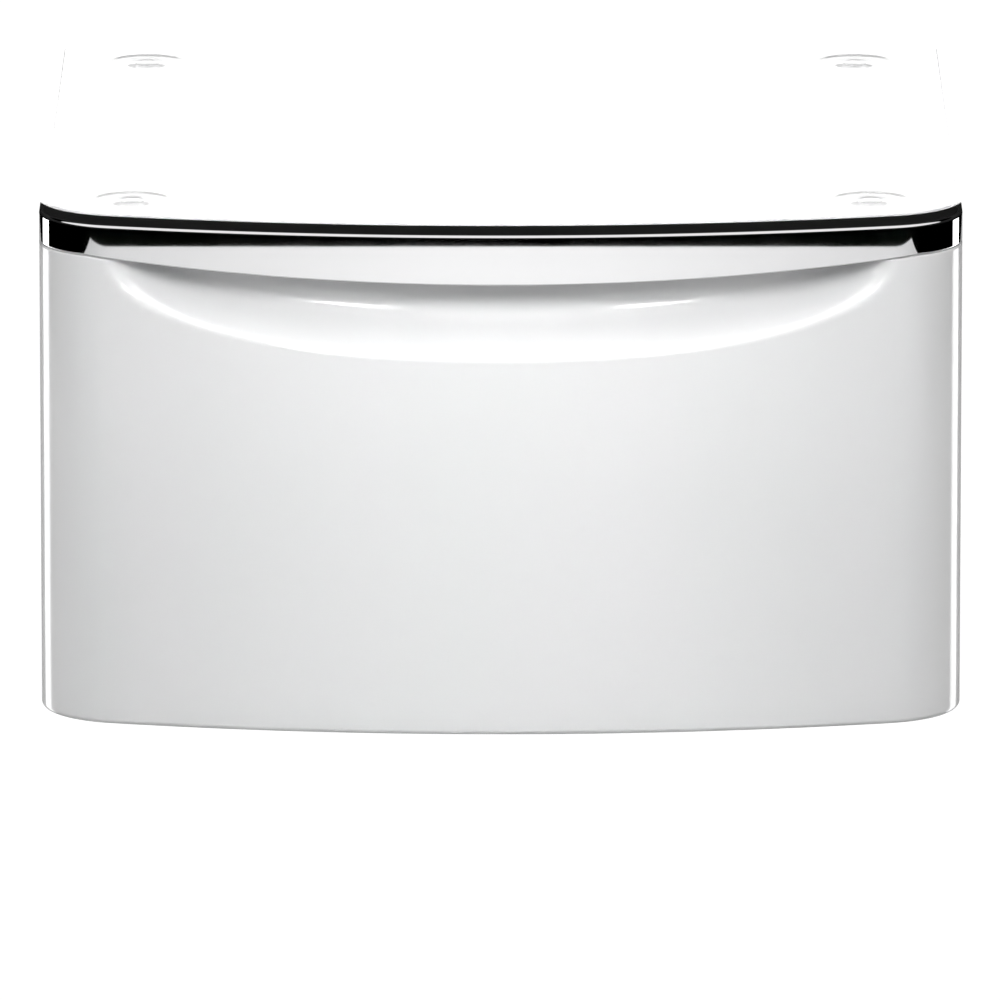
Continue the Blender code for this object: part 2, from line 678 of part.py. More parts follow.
def build():
    clear_scene()
    enamel = finish("white_enamel", (0.86, 0.86, 0.86), 0.18, 0.0)
    chrome = finish("chrome_plate", (0.85, 0.85, 0.86), 0.05, 1.0)
    black = finish("black_inlay", (0.02, 0.02, 0.02), 0.30, 0.0)
    galvanised = finish("galvanised_steel", (0.62, 0.64, 0.65), 0.40, 1.0)
    zinc = finish("zinc_fastener", (0.70, 0.70, 0.68), 0.30, 1.0)
    rubber = finish("black_rubber", (0.03, 0.03, 0.03), 0.80, 0.0)
    grey = finish("grey_plastic", (0.30, 0.31, 0.33), 0.50, 0.0)
    bodies = body_empties()
    drawer = bodies["drawer"]
    deck(enamel)
    side_panels(enamel)
    rear_panel(enamel, zinc)
    base_rails(galvanised)
    deck_crossmember(galvanised)
    bumpers(rubber)
    feet(galvanised, zinc, rubber, bodies)
    slide_mounts(galvanised)
    slides(galvanised, black, bodies)
    drawer_box(enamel, enamel, drawer)
    divider(grey, bodies["divider"])
    drawer_front(enamel, drawer)
    top_cap(enamel, drawer)
    bar = handle_bar(chrome, drawer)
    handle_inlay(black, drawer)
    handle_brackets(galvanised, zinc, drawer, bar)


build()
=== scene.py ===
# %% [markdown]
# # A laundry pedestal
# The pedestal is the wide white drawer that a front load washer stands on.  This file dresses its
# finished mechanical model: the model says where every piece is and how it moves, and the cells
# below make the fine surfaces, the finishes, the light and the camera.

# %% Load the mechanical model
import json
import math

import bmesh
import bpy
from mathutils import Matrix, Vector

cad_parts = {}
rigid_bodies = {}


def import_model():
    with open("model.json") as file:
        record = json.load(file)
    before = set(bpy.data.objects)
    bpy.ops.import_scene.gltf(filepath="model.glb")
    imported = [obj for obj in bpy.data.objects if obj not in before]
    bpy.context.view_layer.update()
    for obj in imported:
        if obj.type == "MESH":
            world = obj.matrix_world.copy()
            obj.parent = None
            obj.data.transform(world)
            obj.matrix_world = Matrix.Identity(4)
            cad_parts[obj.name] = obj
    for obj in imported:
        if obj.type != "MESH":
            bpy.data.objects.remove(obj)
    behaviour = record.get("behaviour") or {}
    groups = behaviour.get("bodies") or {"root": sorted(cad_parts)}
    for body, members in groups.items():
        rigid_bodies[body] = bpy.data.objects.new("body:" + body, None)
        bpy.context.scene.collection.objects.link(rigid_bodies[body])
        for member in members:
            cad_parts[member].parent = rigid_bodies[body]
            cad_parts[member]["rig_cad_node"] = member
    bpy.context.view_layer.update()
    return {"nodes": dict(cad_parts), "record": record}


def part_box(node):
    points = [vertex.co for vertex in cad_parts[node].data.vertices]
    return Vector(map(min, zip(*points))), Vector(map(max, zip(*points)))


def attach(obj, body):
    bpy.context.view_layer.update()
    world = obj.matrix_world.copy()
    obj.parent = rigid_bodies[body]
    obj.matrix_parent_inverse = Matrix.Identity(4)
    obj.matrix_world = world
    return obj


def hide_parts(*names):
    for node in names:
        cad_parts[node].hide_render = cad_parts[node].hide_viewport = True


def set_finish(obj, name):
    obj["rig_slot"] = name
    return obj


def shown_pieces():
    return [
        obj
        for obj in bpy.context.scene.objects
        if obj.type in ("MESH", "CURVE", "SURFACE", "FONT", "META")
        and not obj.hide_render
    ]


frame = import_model()

# %% [markdown]
# ## Numbers that the whole front shares
# Seen from above, the drawer front, the handle and the deck follow one curve: a wide arc with a
# smaller arc at each end.  Most sizes are read from the model's own boxes.  The few that a box
# can't give, such as the radius of the arcs, are named here once.

# %% Sizes of the bowed front
front_low, front_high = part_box("drawer_front")
bar_low, bar_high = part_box("handle_bar")
HALF = front_high.x
APEX_Y = front_low.y
RETURN_Y = front_high.y
TOP = bar_high.z
BOW_R = 1.180
CORNER_R = 0.068
CORNER_X = HALF - CORNER_R
CORNER_Y = APEX_Y + BOW_R - math.sqrt((BOW_R - CORNER_R) ** 2 - CORNER_X**2)
BOW_TURN = math.asin(CORNER_X / (BOW_R - CORNER_R))
LEDGE = 0.039
SIDES = (("left", -1), ("right", 1))
print("the bow is", round((CORNER_Y - APEX_Y) * 1000), "mm deep")

# %% [markdown]
# ## Walking round the front
# A sheet that follows a curve is easiest to build as a grid: one direction walks round the curve,
# the other climbs the sheet.  A bezier curve could do the walk, but a point and its outward normal
# from two arcs are exact and need no sampling.  Each station on the walk is such a pair.


# %% Stations along the bow
def arc_station(centre, radius, turn):
    normal = Vector((math.sin(turn), -math.cos(turn)))
    return centre + normal * radius, normal


def mirrored(half):
    left = [(Vector((-p.x, p.y)), Vector((-n.x, n.y))) for p, n in reversed(half[1:])]
    return left + half


def bow_stations(bow_steps=72, corner_steps=22):
    """Points and normals from the middle round to the right rear end, with their mirror image."""
    half = []
    for step in range(bow_steps // 2 + 1):
        turn = BOW_TURN * step / (bow_steps // 2)
        half.append(arc_station(Vector((0, APEX_Y + BOW_R)), BOW_R, turn))
    for step in range(1, corner_steps + 1):
        turn = BOW_TURN + (math.pi / 2 - BOW_TURN) * step / corner_steps
        half.append(arc_station(Vector((CORNER_X, CORNER_Y)), CORNER_R, turn))
    side_steps = 4
    for step in range(1, side_steps + 1):
        y = CORNER_Y + (RETURN_Y - CORNER_Y) * step / side_steps
        half.append((Vector((HALF, y)), Vector((1, 0))))
    return mirrored(half)


def bow_y(x):
    x = abs(x)
    if x <= BOW_R * math.sin(BOW_TURN):
        return APEX_Y + BOW_R - math.sqrt(BOW_R**2 - x**2)
    return CORNER_Y - math.sqrt(max(0.0, CORNER_R**2 - (x - CORNER_X) ** 2))


def set_in(point, normal, inset, z):
    """The place that lies this far inside a station, at height z."""
    place = point - normal * inset
    return place.x, place.y, z


print(len(bow_stations()), "stations round the front")

# %% [markdown]
# ## From a grid of points to a mesh
# Nearly every piece below is a grid of points.  One helper joins the grid's rows into faces, and
# can close it into a ring.  Shading is smooth, except where two faces meet at a clear angle.


# %% Grid helper
def mesh_object(name, bm, body, sharp=35):
    bmesh.ops.remove_doubles(bm, verts=bm.verts, dist=0.000002)
    bmesh.ops.recalc_face_normals(bm, faces=bm.faces)
    mesh = bpy.data.meshes.new(name)
    bm.to_mesh(mesh)
    bm.free()
    mesh.shade_smooth()
    mesh.set_sharp_from_angle(angle=math.radians(sharp))
    made = bpy.data.objects.new(name, mesh)
    bpy.context.scene.collection.objects.link(made)
    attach(made, body)
    return made


def add_grid(bm, rows, ring=False, caps=False):
    """Quads between neighbouring rows of points; ring joins the last point of a row to its first."""
    made = [[bm.verts.new(point) for point in row] for row in rows]
    count = len(made[0])
    for low, high in zip(made, made[1:]):
        for c in range(count if ring else count - 1):
            n = (c + 1) % count
            bm.faces.new([low[c], low[n], high[n], high[c]])
    if caps:
        bm.faces.new(made[0])
        bm.faces.new(made[-1])
    return made


def grid_object(name, rows, body, ring=False, caps=False, sharp=35):
    bm = bmesh.new()
    add_grid(bm, rows, ring, caps)
    return mesh_object(name, bm, body, sharp)


def modifier(piece, kind, **settings):
    made = piece.modifiers.new(kind.title(), kind)
    for name, value in settings.items():
        setattr(made, name, value)
    return made


# %% [markdown]
# ## The drawer front
# The real one is a single steel sheet.  Its lower edge rolls under, its ends return to the cabinet,
# and the finger dish is pressed into its top.  The dish could be sculpted, but it has a clean
# rule: its outline is half of a superellipse, and its depth depends only on the distance from that
# outline, first a soft lip and then a long slope into the back wall.

# %% The finger dish
DISH_HALF = 0.290
DISH_TOP_Z = 0.370
DISH_DROP = 0.072
DISH_POWER = 2.3
DISH_DEPTH = 0.030
DISH_RISE = 0.048
DISH_LIP = 0.15
DISH_FALL = 2.2


def dish_depth(x, z):
    across = abs(x) / DISH_HALF
    down = max(0.0, DISH_TOP_Z - z) / DISH_DROP
    reach = (across**DISH_POWER + down**DISH_POWER) ** (1 / DISH_POWER)
    if reach >= 1:
        return 0.0
    if reach < 0.2:
        return DISH_DEPTH
    power = DISH_POWER - 1
    slope = math.hypot(across**power / DISH_HALF, down**power / DISH_DROP) / reach**power
    inside = min(1.0, (1 - reach) / slope / DISH_RISE)
    eased = inside**2 * (1 + DISH_LIP) / (inside + DISH_LIP)
    return DISH_DEPTH * (1 - (1 - eased) ** DISH_FALL)


print("depth at the middle of the dish:", round(dish_depth(0, DISH_TOP_Z) * 1000, 1), "mm")

# %% [markdown]
# The handle's lower edge is a shallow arc, and the sheet steps back behind it.  So each column of
# the drawer front climbs through five stretches: rolled foot, plain face, dish, step, top flange.

# %% Rows of the drawer front
SEAM_RISE = 0.0137
SEAM_RISE_X = 0.300
SEAM_END_Z = 0.3712
ROLL_R = 0.004
FOOT_Z = 0.016
FOOT_HEM = 0.016
STEP_BACK = 0.0026
STEP_RISE = 0.0008
SEAM_GAP = 0.0013
END_RISE = 0.0010
TOP_FLANGE_X = 0.290
ROLL_STEPS, FACE_STEPS, DISH_STEPS, STEP_STEPS = 8, 12, 60, 6
DISH_MARGIN = 0.010


def seam_z(x):
    return min(SEAM_END_Z, bar_low.z + SEAM_RISE * (x / SEAM_RISE_X) ** 2)


def front_column(x):
    """(height, inset) pairs up the sheet at x."""
    column = [(FOOT_Z, FOOT_HEM), (FOOT_Z, (FOOT_HEM + ROLL_R) / 2)]
    for step in range(ROLL_STEPS + 1):
        turn = math.pi / 2 * (1 - step / ROLL_STEPS)
        column.append((FOOT_Z + ROLL_R * (1 - math.sin(turn)), ROLL_R * (1 - math.cos(turn))))
    face_low, face_top = FOOT_Z + ROLL_R, DISH_TOP_Z - DISH_DROP - DISH_MARGIN
    rise = (face_top - face_low) / FACE_STEPS
    column += [(face_low + rise * step, 0.0) for step in range(1, FACE_STEPS)]
    seam = seam_z(x) - SEAM_GAP
    for step in range(DISH_STEPS + 1):
        z = face_top + (seam - face_top) * step / DISH_STEPS
        column.append((z, dish_depth(x, z)))
    for step in range(1, STEP_STEPS + 1):
        turn = math.pi * step / STEP_STEPS
        z = seam + STEP_RISE * step / STEP_STEPS
        column.append((z, max(dish_depth(x, z), STEP_BACK * (1 - math.cos(turn)) / 2)))
    top = front_high.z if abs(x) <= TOP_FLANGE_X else seam + END_RISE
    for step in range(1, STEP_STEPS + 1):
        z = column[-1][0] + (top - column[-1][0]) * step / STEP_STEPS
        column.append((z, max(dish_depth(x, z), STEP_BACK)))
    return column


print(len(front_column(0)), "points up the sheet")

# %% [markdown]
# The sheet is one grid, thickened inwards by a Solidify modifier to the gauge of real steel.  A
# small fold at each rear end hides the raw edge, as on the real sheet.

# %% Build the drawer front
HEM_R = 0.002
HEM_WIDTH = 0.0055
SHEET = 0.0012


def hemmed_stations():
    """The walk round the front, with a small fold at each rear end."""
    right = bow_stations()
    right = right[len(right) // 2 : -1]
    centre = Vector((HALF - HEM_R, RETURN_Y - HEM_R))
    for step in range(5):
        turn = math.pi / 2 * (1 + step / 4)
        right.append(arc_station(centre, HEM_R, turn))
    right.append((Vector((HALF - HEM_WIDTH, RETURN_Y)), Vector((0, 1))))
    return mirrored(right)


def build_drawer_front():
    stations = hemmed_stations()
    columns = [front_column(point.x) for point, _ in stations]
    rows = []
    for level in zip(*columns):
        rows.append([set_in(point, normal, inset, z) for (point, normal), (z, inset) in zip(stations, level)])
    sheet = grid_object("drawer_front_sheet", rows, "drawer", sharp=60)
    modifier(sheet, "SOLIDIFY", thickness=SHEET, offset=-1)
    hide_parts("drawer_front")
    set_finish(sheet, "white_enamel")
    return sheet


drawer_front = build_drawer_front()
print("drawer front:", len(drawer_front.data.polygons), "faces")

# %% [markdown]
# ## The handle bar
# The handle is a hollow chromed casting, open below so that fingers can hook behind its front
# wall.  Its top is the crescent between the bow and a copy of the bow further back.  A sweep along
# a curve would pinch at the crescent's horns, so each station first measures how wide the crescent
# is along its own normal, and the section is fitted into that width.

# %% Width of the ledge at a station
def ledge_width(point, normal):
    """Distance from the bow, along the inward normal, to the bow's copy LEDGE further back."""
    near, far = 0.0, 0.060
    for _ in range(40):
        middle = (near + far) / 2
        reached = point - normal * middle
        behind = abs(reached.x) < HALF and reached.y >= bow_y(reached.x) + LEDGE
        if behind:
            far = middle
        else:
            near = middle
    return near


MIDDLE_STATION = bow_stations()[len(bow_stations()) // 2]
print("ledge width at the middle:", round(ledge_width(*MIDDLE_STATION) * 1000, 1), "mm")

# %% [markdown]
# The section is a closed ring of points.  Two extra rows of points, just beside each rounded edge,
# keep the flat face's shading flat: a mirror shows any tilt of its normals as a bent reflection.

# %% Build the handle bar
POCKET_Z = TOP - 0.0014
REAR_EDGE_Z = 0.376
CEILING_Z = 0.3905
WALL = 0.002
RIM = 0.003
EDGE_R = 0.0026
HOLLOW_X = 0.312
LIP_R = 0.0006
SUPPORT = 0.0002
HAIR = 0.00005
# (inset, height above the lower edge) round the thicker inner edge that fingers pull on
INNER_LIP = ((WALL, 0.0040), (0.0050, 0.0030), (0.0050, 0.0010), (0.0035, 0.0002))
CLOSED_PARTS = (0.95, 0.8, 0.6, 0.45, 0.3, 0.2, 0.1)


def rim_width(width, widest=RIM):
    """Width of the chrome in front of the black strip, narrower where the ledge is narrow."""
    return min(widest, width * 0.45)


def bar_section(point, normal):
    """(inset, height) ring of the bar at one station, from the lip up the face and round."""
    width = ledge_width(point, normal)
    low = seam_z(point.x)
    edge = min(EDGE_R, width * 0.4)
    rim = rim_width(width)
    rear = width - min(0.0008, width * 0.2)
    ring = []
    for step in range(5):
        turn = math.pi / 2 * step / 4
        ring.append((min(LIP_R, edge) * (1 - math.sin(turn)), low + LIP_R * (1 - math.cos(turn))))
    plain_low, plain_high = low + LIP_R + SUPPORT, TOP - EDGE_R - SUPPORT
    ring += [(0.0, plain_low + (plain_high - plain_low) * step / 4) for step in range(5)]
    for step in range(9):
        turn = math.pi / 2 * step / 8
        ring.append((edge * (1 - math.cos(turn)), TOP - EDGE_R * (1 - math.sin(turn))))
    ring += [(rim, TOP), (rim + HAIR, TOP - 2 * HAIR), (rim + HAIR, POCKET_Z)]
    ring += [(rear, POCKET_Z), (rear + HAIR, TOP - 0.0003), (width, TOP - 0.0006)]
    ring += [(width, (TOP + REAR_EDGE_Z) / 2), (width, REAR_EDGE_Z)]
    if abs(point.x) < HOLLOW_X:
        ring += [(width - WALL, REAR_EDGE_Z), (width - WALL, CEILING_Z), (WALL, CEILING_Z)]
        ring += [(inset, low + height) for inset, height in INNER_LIP]
    else:
        ring += [(width * part, low + (REAR_EDGE_Z - low) * part) for part in CLOSED_PARTS]
    return ring


def build_handle_bar():
    rows = [[set_in(point, normal, inset, z) for inset, z in bar_section(point, normal)]
            for point, normal in bow_stations()]
    bar = grid_object("handle_bar_chrome", rows, "drawer", ring=True, caps=True, sharp=40)
    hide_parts("handle_bar")
    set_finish(bar, "chrome_plate")
    return bar


handle_bar = build_handle_bar()
print("handle bar:", len(handle_bar.data.polygons), "faces")

# %% [markdown]
# ## The black strip in the handle's top
# It is a separate satin moulding that lies in the chrome's pocket.  The same walk round the front
# gives it the same shape, and a soft edge of half a millimetre catches the light along its rim.

# %% Build the strip
STRIP_GAP = 0.0004
STRIP_REAR_GAP = 0.0012
STRIP_LIFT = 0.0003
STRIP_SOFT = 0.0004
STRIP_NARROWEST = 0.002


def build_strip():
    rows = []
    for point, normal in bow_stations():
        width = ledge_width(point, normal)
        front = rim_width(width) + STRIP_GAP
        rear = width - STRIP_REAR_GAP
        if rear - front < STRIP_NARROWEST:
            continue
        foot, shoulder = POCKET_Z + STRIP_LIFT, TOP - STRIP_SOFT
        section = [(front, foot), (front, shoulder), (front + STRIP_SOFT, TOP)]
        section += [(front + (rear - front) * part, TOP) for part in (0.1, 0.3, 0.5, 0.7, 0.9)]
        section += [(rear - STRIP_SOFT, TOP), (rear, shoulder), (rear, foot)]
        rows.append([set_in(point, normal, inset, z) for inset, z in section])
    strip = grid_object("handle_strip", rows, "drawer", ring=True, caps=True)
    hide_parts("handle_inlay")
    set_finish(strip, "black_inlay")
    return strip


handle_strip = build_strip()
print("strip:", len(handle_strip.data.polygons), "faces")

# %% [markdown]
# ## The deck
# The deck is a folded lid.  Its edge is a loop of points that is set in step by step round the
# fold.  The flat top has round holes in it, so it isn't a grid: Blender fills the space between
# the outer loop and the holes' loops with triangles, which is fine because it is perfectly flat.
# Each machine foot gets a shallow pressed seat with a hole in its middle.

# %% Outline of the deck
deck_low, deck_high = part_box("deck_panel")
DECK_HALF = deck_high.x
DECK_GAP = 0.004
DECK_SHIFT = LEDGE + DECK_GAP
DECK_CORNER = 0.004


def deck_outline(inset):
    """Closed loop of the deck's edge, set in by inset: bowed front, square rear corners."""
    half = DECK_HALF - inset
    stations = [point.x for point, _ in bow_stations() if abs(point.x) < DECK_HALF - 0.001]
    front = [(x * half / DECK_HALF, bow_y(x) + DECK_SHIFT + inset) for x in stations]
    front = [(-half, bow_y(DECK_HALF) + DECK_SHIFT + inset), *front]
    front.append((half, bow_y(DECK_HALF) + DECK_SHIFT + inset))
    rear = deck_high.y - inset
    radius = max(0.0005, DECK_CORNER - inset)
    corner = []
    for step in range(7):
        turn = math.pi / 2 * step / 6
        corner.append((half - radius * (1 - math.cos(turn)), rear - radius * (1 - math.sin(turn))))
    return front + corner + [(-x, y) for x, y in reversed(corner)]


print(len(deck_outline(0.0)), "points round the deck")

# %% [markdown]
# The deck's edge turns down in a quarter circle.  Each seat is a short stack of circles that sinks
# in a soft wave, and ends in the round hole that a machine's foot is bolted through.

# %% Build the deck
FOLD_R = 0.0018
SKIRT = 0.012
SEAT_R = 0.030
SEAT_DEPTH = 0.0012
HOLE_R = 0.0065
SEAT_X = 0.275
SEAT_Y = (-0.230, 0.310)
SEAT_SLOPE = 0.004
SEAT_RIM = 0.001
HOLE_CUFF = 0.0015
HOLE_TURN_DOWN = 0.0008


def loop_at(bm, outline, z):
    return [bm.verts.new((x, y, z)) for x, y in outline]


def bridge(bm, first, second):
    count = len(first)
    for c in range(count):
        n = (c + 1) % count
        bm.faces.new([first[c], first[n], second[n], second[c]])


def circle(x, y, radius, sides=40):
    turns = [math.tau * step / sides for step in range(sides)]
    return [(x + radius * math.cos(turn), y + radius * math.sin(turn)) for turn in turns]


def loop_edges(bm, loop):
    return [bm.edges.get((a, b)) or bm.edges.new((a, b)) for a, b in zip(loop, loop[1:] + loop[:1])]


def build_deck():
    bm = bmesh.new()
    loops = [loop_at(bm, deck_outline(0.0), deck_low.z), loop_at(bm, deck_outline(0.0), TOP - SKIRT)]
    for step in range(9):
        turn = math.pi / 2 * step / 8
        outline = deck_outline(FOLD_R * (1 - math.cos(turn)))
        loops.append(loop_at(bm, outline, TOP - FOLD_R * (1 - math.sin(turn))))
    loops.append(loop_at(bm, deck_outline(FOLD_R + SEAT_RIM), TOP))
    for first, second in zip(loops, loops[1:]):
        bridge(bm, first, second)
    rim = loop_edges(bm, loops[-1])
    for y in SEAT_Y:
        for _, sign in SIDES:
            x = sign * SEAT_X
            seat = [loop_at(bm, circle(x, y, SEAT_R + outside), TOP) for outside in (SEAT_RIM, 0.0)]
            for step in range(1, 7):
                part = step / 6
                z = TOP - SEAT_DEPTH * (1 - math.cos(math.pi * part)) / 2
                seat.append(loop_at(bm, circle(x, y, SEAT_R - SEAT_SLOPE * part), z))
            seat.append(loop_at(bm, circle(x, y, HOLE_R + HOLE_CUFF), TOP - SEAT_DEPTH))
            seat.append(loop_at(bm, circle(x, y, HOLE_R), TOP - SEAT_DEPTH - HOLE_TURN_DOWN))
            for first, second in zip(seat, seat[1:]):
                bridge(bm, first, second)
            rim += loop_edges(bm, seat[0])
    bmesh.ops.triangle_fill(bm, use_beauty=True, edges=rim)
    deck = mesh_object("deck_sheet", bm, "cabinet", sharp=30)
    modifier(deck, "SOLIDIFY", thickness=SHEET, offset=-1)
    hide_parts("deck_panel")
    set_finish(deck, "white_enamel")
    return deck


deck = build_deck()
print("deck:", len(deck.data.polygons), "faces")

# %% [markdown]
# Until a machine is bolted on, each hole is closed by a push-in cap, which keeps water out.  It is
# a turned shape, so it needs only a half outline of (radius, height) points.

# %% Plugs in the deck's holes
NEAR_AXIS = 0.0001
CAP_R, CAP_CROWN_R = 0.0088, 0.0050
CAP_RISE, CAP_EDGE = 0.0009, 0.0001
PLUG_R, PLUG_LENGTH = HOLE_R - 0.0006, 0.0070


def build_plug(number, x, y):
    seat = TOP - SEAT_DEPTH
    profile = [(NEAR_AXIS, seat + CAP_RISE), (CAP_CROWN_R, seat + CAP_RISE), (CAP_R, seat + CAP_EDGE),
               (CAP_R, seat), (PLUG_R, seat), (PLUG_R, seat - PLUG_LENGTH), (NEAR_AXIS, seat - PLUG_LENGTH)]
    rows = [[(across, along, z) for across, along in circle(x, y, radius, 48)] for radius, z in profile]
    plug = grid_object(f"deck_plug_{number}", rows, "cabinet", ring=True)
    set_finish(plug, "white_enamel")
    return plug


seats = [(sign * SEAT_X, y) for _, sign in SIDES for y in SEAT_Y]
plugs = [build_plug(number, x, y) for number, (x, y) in enumerate(seats)]
print(len(plugs), "plugs")

# %% [markdown]
# ## Pressed sheets
# A large flat panel is stiffened with beads, long shallow ridges with round ends.  A bead is the
# set of points near a line, so a grid of points is pushed out by how near each is to one.


# %% Sheets with beads
def bead_height(u, v, beads, width, height):
    """Push at (u, v) from the nearest bead, each a line from one point to another."""
    push = 0.0
    for (u1, v1), (u2, v2) in beads:
        along = Vector((u2 - u1, v2 - v1))
        part = max(0.0, min(1.0, Vector((u - u1, v - v1)).dot(along) / along.length_squared))
        away = math.hypot(u - u1 - along.x * part, v - v1 - along.y * part)
        if away < width:
            push = max(push, height * (1 + math.cos(math.pi * away / width)) / 2)
    return push


def steps_between(low, high, count):
    return [low + (high - low) * step / count for step in range(count + 1)]


REAR_BEADS = (0.22, 0.41, 0.60, 0.79)
REAR_MARGIN = 0.060


def build_rear_panel():
    low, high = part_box("rear_panel")
    reach = high.x - REAR_MARGIN
    levels = [low.z + part * (high.z - low.z) for part in REAR_BEADS]
    beads = [((-reach, level), (reach, level)) for level in levels]
    rows = [[(x, high.y - 0.0002 + bead_height(x, z, beads, 0.011, 0.0018), z)
             for x in steps_between(low.x, high.x, 130)] for z in steps_between(low.z, high.z, 110)]
    panel = grid_object("rear_sheet", rows, "cabinet")
    modifier(panel, "SOLIDIFY", thickness=0.0010, offset=-1)
    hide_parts("rear_panel")
    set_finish(panel, "white_enamel")
    return panel


rear_panel = build_rear_panel()
print("rear panel:", len(rear_panel.data.polygons), "faces")

# %% [markdown]
# The drawer's floor is stiffened in the same way, with beads that run from front to back so that
# boxes slide along them.

# %% Drawer floor
FLOOR_BEADS = (-0.2, -0.1, 0.0, 0.1, 0.2)
FLOOR_MARGIN = 0.050


def build_drawer_bottom():
    low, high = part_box("drawer_bottom")
    beads = [((x, low.y + FLOOR_MARGIN), (x, high.y - FLOOR_MARGIN)) for x in FLOOR_BEADS]
    rows = [[(x, y, high.z - 0.0012 + bead_height(x, y, beads, 0.009, 0.0010))
             for x in steps_between(low.x, high.x, 150)] for y in steps_between(low.y, high.y, 90)]
    floor = grid_object("drawer_bottom_sheet", rows, "drawer")
    modifier(floor, "SOLIDIFY", thickness=0.0010, offset=0)
    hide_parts("drawer_bottom")
    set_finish(floor, "white_enamel")
    return floor


drawer_bottom = build_drawer_bottom()
print("drawer bottom:", len(drawer_bottom.data.polygons), "faces")

# %% [markdown]
# ## Folded pieces that keep the model's own solid
# Panels, rails and brackets already have their true shape.  What gives a folded sheet away is the
# soft radius of its bends, so their sharp edges get a small bevel.  The model's triangles are
# first welded and merged back into whole flat faces, because a bevel needs real edges.


# %% Soften the folds
def soften(node, radius, segments=3):
    piece = frame["nodes"][node]
    modifier(piece, "WELD", merge_threshold=0.000005)
    modifier(piece, "DECIMATE", decimate_type="DISSOLVE", angle_limit=math.radians(0.5))
    modifier(piece, "BEVEL", width=radius, segments=segments, limit_method="ANGLE",
             angle_limit=math.radians(40), harden_normals=True, use_clamp_overlap=True)
    piece.data.shade_smooth()
    return piece


FOLDED = {
    0.0010: ["left_side_panel", "right_side_panel", "drawer_inner_front"],
    0.0005: ["drawer_left_side", "drawer_right_side", "drawer_back", "drawer_top_cap",
             "deck_crossmember", "slide_mount_left", "slide_mount_right"],
    0.0008: ["front_base_rail", "rear_base_rail", "left_base_rail", "right_base_rail",
             "handle_bracket_left", "handle_bracket_right", "drawer_divider"],
    0.0006: ["release_lever_left", "release_lever_right"],
}
for radius, nodes in FOLDED.items():
    for node in nodes:
        soften(node, radius)
for row in ("front", "rear"):
    for side, _ in SIDES:
        soften(f"foot_bracket_{row}_{side}", 0.0008)
        soften(f"foot_lock_nut_{row}_{side}", 0.0007)
print("softened", sum(len(nodes) for nodes in FOLDED.values()) + 8, "pieces")

# %% [markdown]
# ## Round pieces
# Feet and screws are turned: a profile of (radius, height) points goes round an axis.


# %% Turned pieces
def frame_axes(axis):
    up = Vector(axis).normalized()
    out = up.orthogonal().normalized()
    return up, out, up.cross(out)


def turned_rows(profile, base, axis, sides=48):
    up, out, across = frame_axes(axis)
    rows = []
    for radius, height in profile:
        row = []
        for step in range(sides):
            turn = math.tau * step / sides
            spoke = out * math.cos(turn) + across * math.sin(turn)
            row.append(Vector(base) + up * height + spoke * radius)
        rows.append(row)
    return rows


def rounded(profile, radius, steps=4):
    """The profile with each inner corner replaced by a short curve."""
    smooth = [profile[0]]
    for before, corner, after in zip(profile, profile[1:], profile[2:]):
        before, corner, after = Vector(before), Vector(corner), Vector(after)
        into = (before - corner).normalized() * min(radius, (before - corner).length * 0.45)
        out = (after - corner).normalized() * min(radius, (after - corner).length * 0.45)
        for step in range(steps + 1):
            part = step / steps
            start, end = corner + into, corner + out
            point = start * (1 - part) ** 2 + corner * 2 * part * (1 - part) + end * part**2
            smooth.append(tuple(point))
    return smooth + [profile[-1]]


def node_middle(node):
    low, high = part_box(node)
    return (low + high) / 2


# %% [markdown]
# ## Levelling feet
# A rubber pad carries a threaded stem.  The thread is a real ridge: on a grid round the stem, the
# radius rises and falls with the height, and the rise climbs one pitch for each turn.

# %% Feet
PITCH = 0.0015
CORE_R, THREAD_DEPTH, TIP_R = 0.0042, 0.0008, 0.003
THREAD_START, TIP_LENGTH = 0.0135, 0.0015
STEM_SIDES, ROWS_PER_TURN = 20, 6
COLLAR = ((NEAR_AXIS, 0.0), (0.0138, 0.0), (0.0138, 0.0075), (0.0075, 0.0082), (0.0052, 0.0085))
HEXAGON = ((NEAR_AXIS, 0.0082), (0.0088, 0.0082), (0.0095, 0.0088),
           (0.0095, 0.0134), (0.0088, 0.0140), (NEAR_AXIS, 0.0140))


def thread_ring(base, height, radii):
    """A level ring of points round the stem, one for each radius."""
    turns = [math.tau * step / len(radii) for step in range(len(radii))]
    return [base + Vector((radius * math.cos(turn), radius * math.sin(turn), height))
            for radius, turn in zip(radii, turns)]


def build_stem(node, body):
    low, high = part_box(node)
    middle = node_middle(node)
    base = Vector((middle.x, middle.y, low.z))
    rise = high.z - low.z
    bm = bmesh.new()
    add_grid(bm, turned_rows(rounded(COLLAR, 0.0010), base, (0, 0, 1)), ring=True)
    add_grid(bm, turned_rows(HEXAGON, base, (0, 0, 1), 6), ring=True)
    turns = (rise - TIP_LENGTH - THREAD_START) / PITCH
    rows = []
    for step in range(int(turns * ROWS_PER_TURN) + 1):
        waves = [(step / ROWS_PER_TURN - side / STEM_SIDES) % 1 for side in range(STEM_SIDES)]
        radii = [CORE_R + THREAD_DEPTH * (1 - abs(2 * wave - 1)) for wave in waves]
        rows.append(thread_ring(base, THREAD_START + step * PITCH / ROWS_PER_TURN, radii))
    rows.append(thread_ring(base, rise, [TIP_R] * STEM_SIDES))
    add_grid(bm, rows, ring=True, caps=True)
    stem = mesh_object(node + "_thread", bm, body)
    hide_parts(node)
    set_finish(stem, "zinc_plate")
    return stem


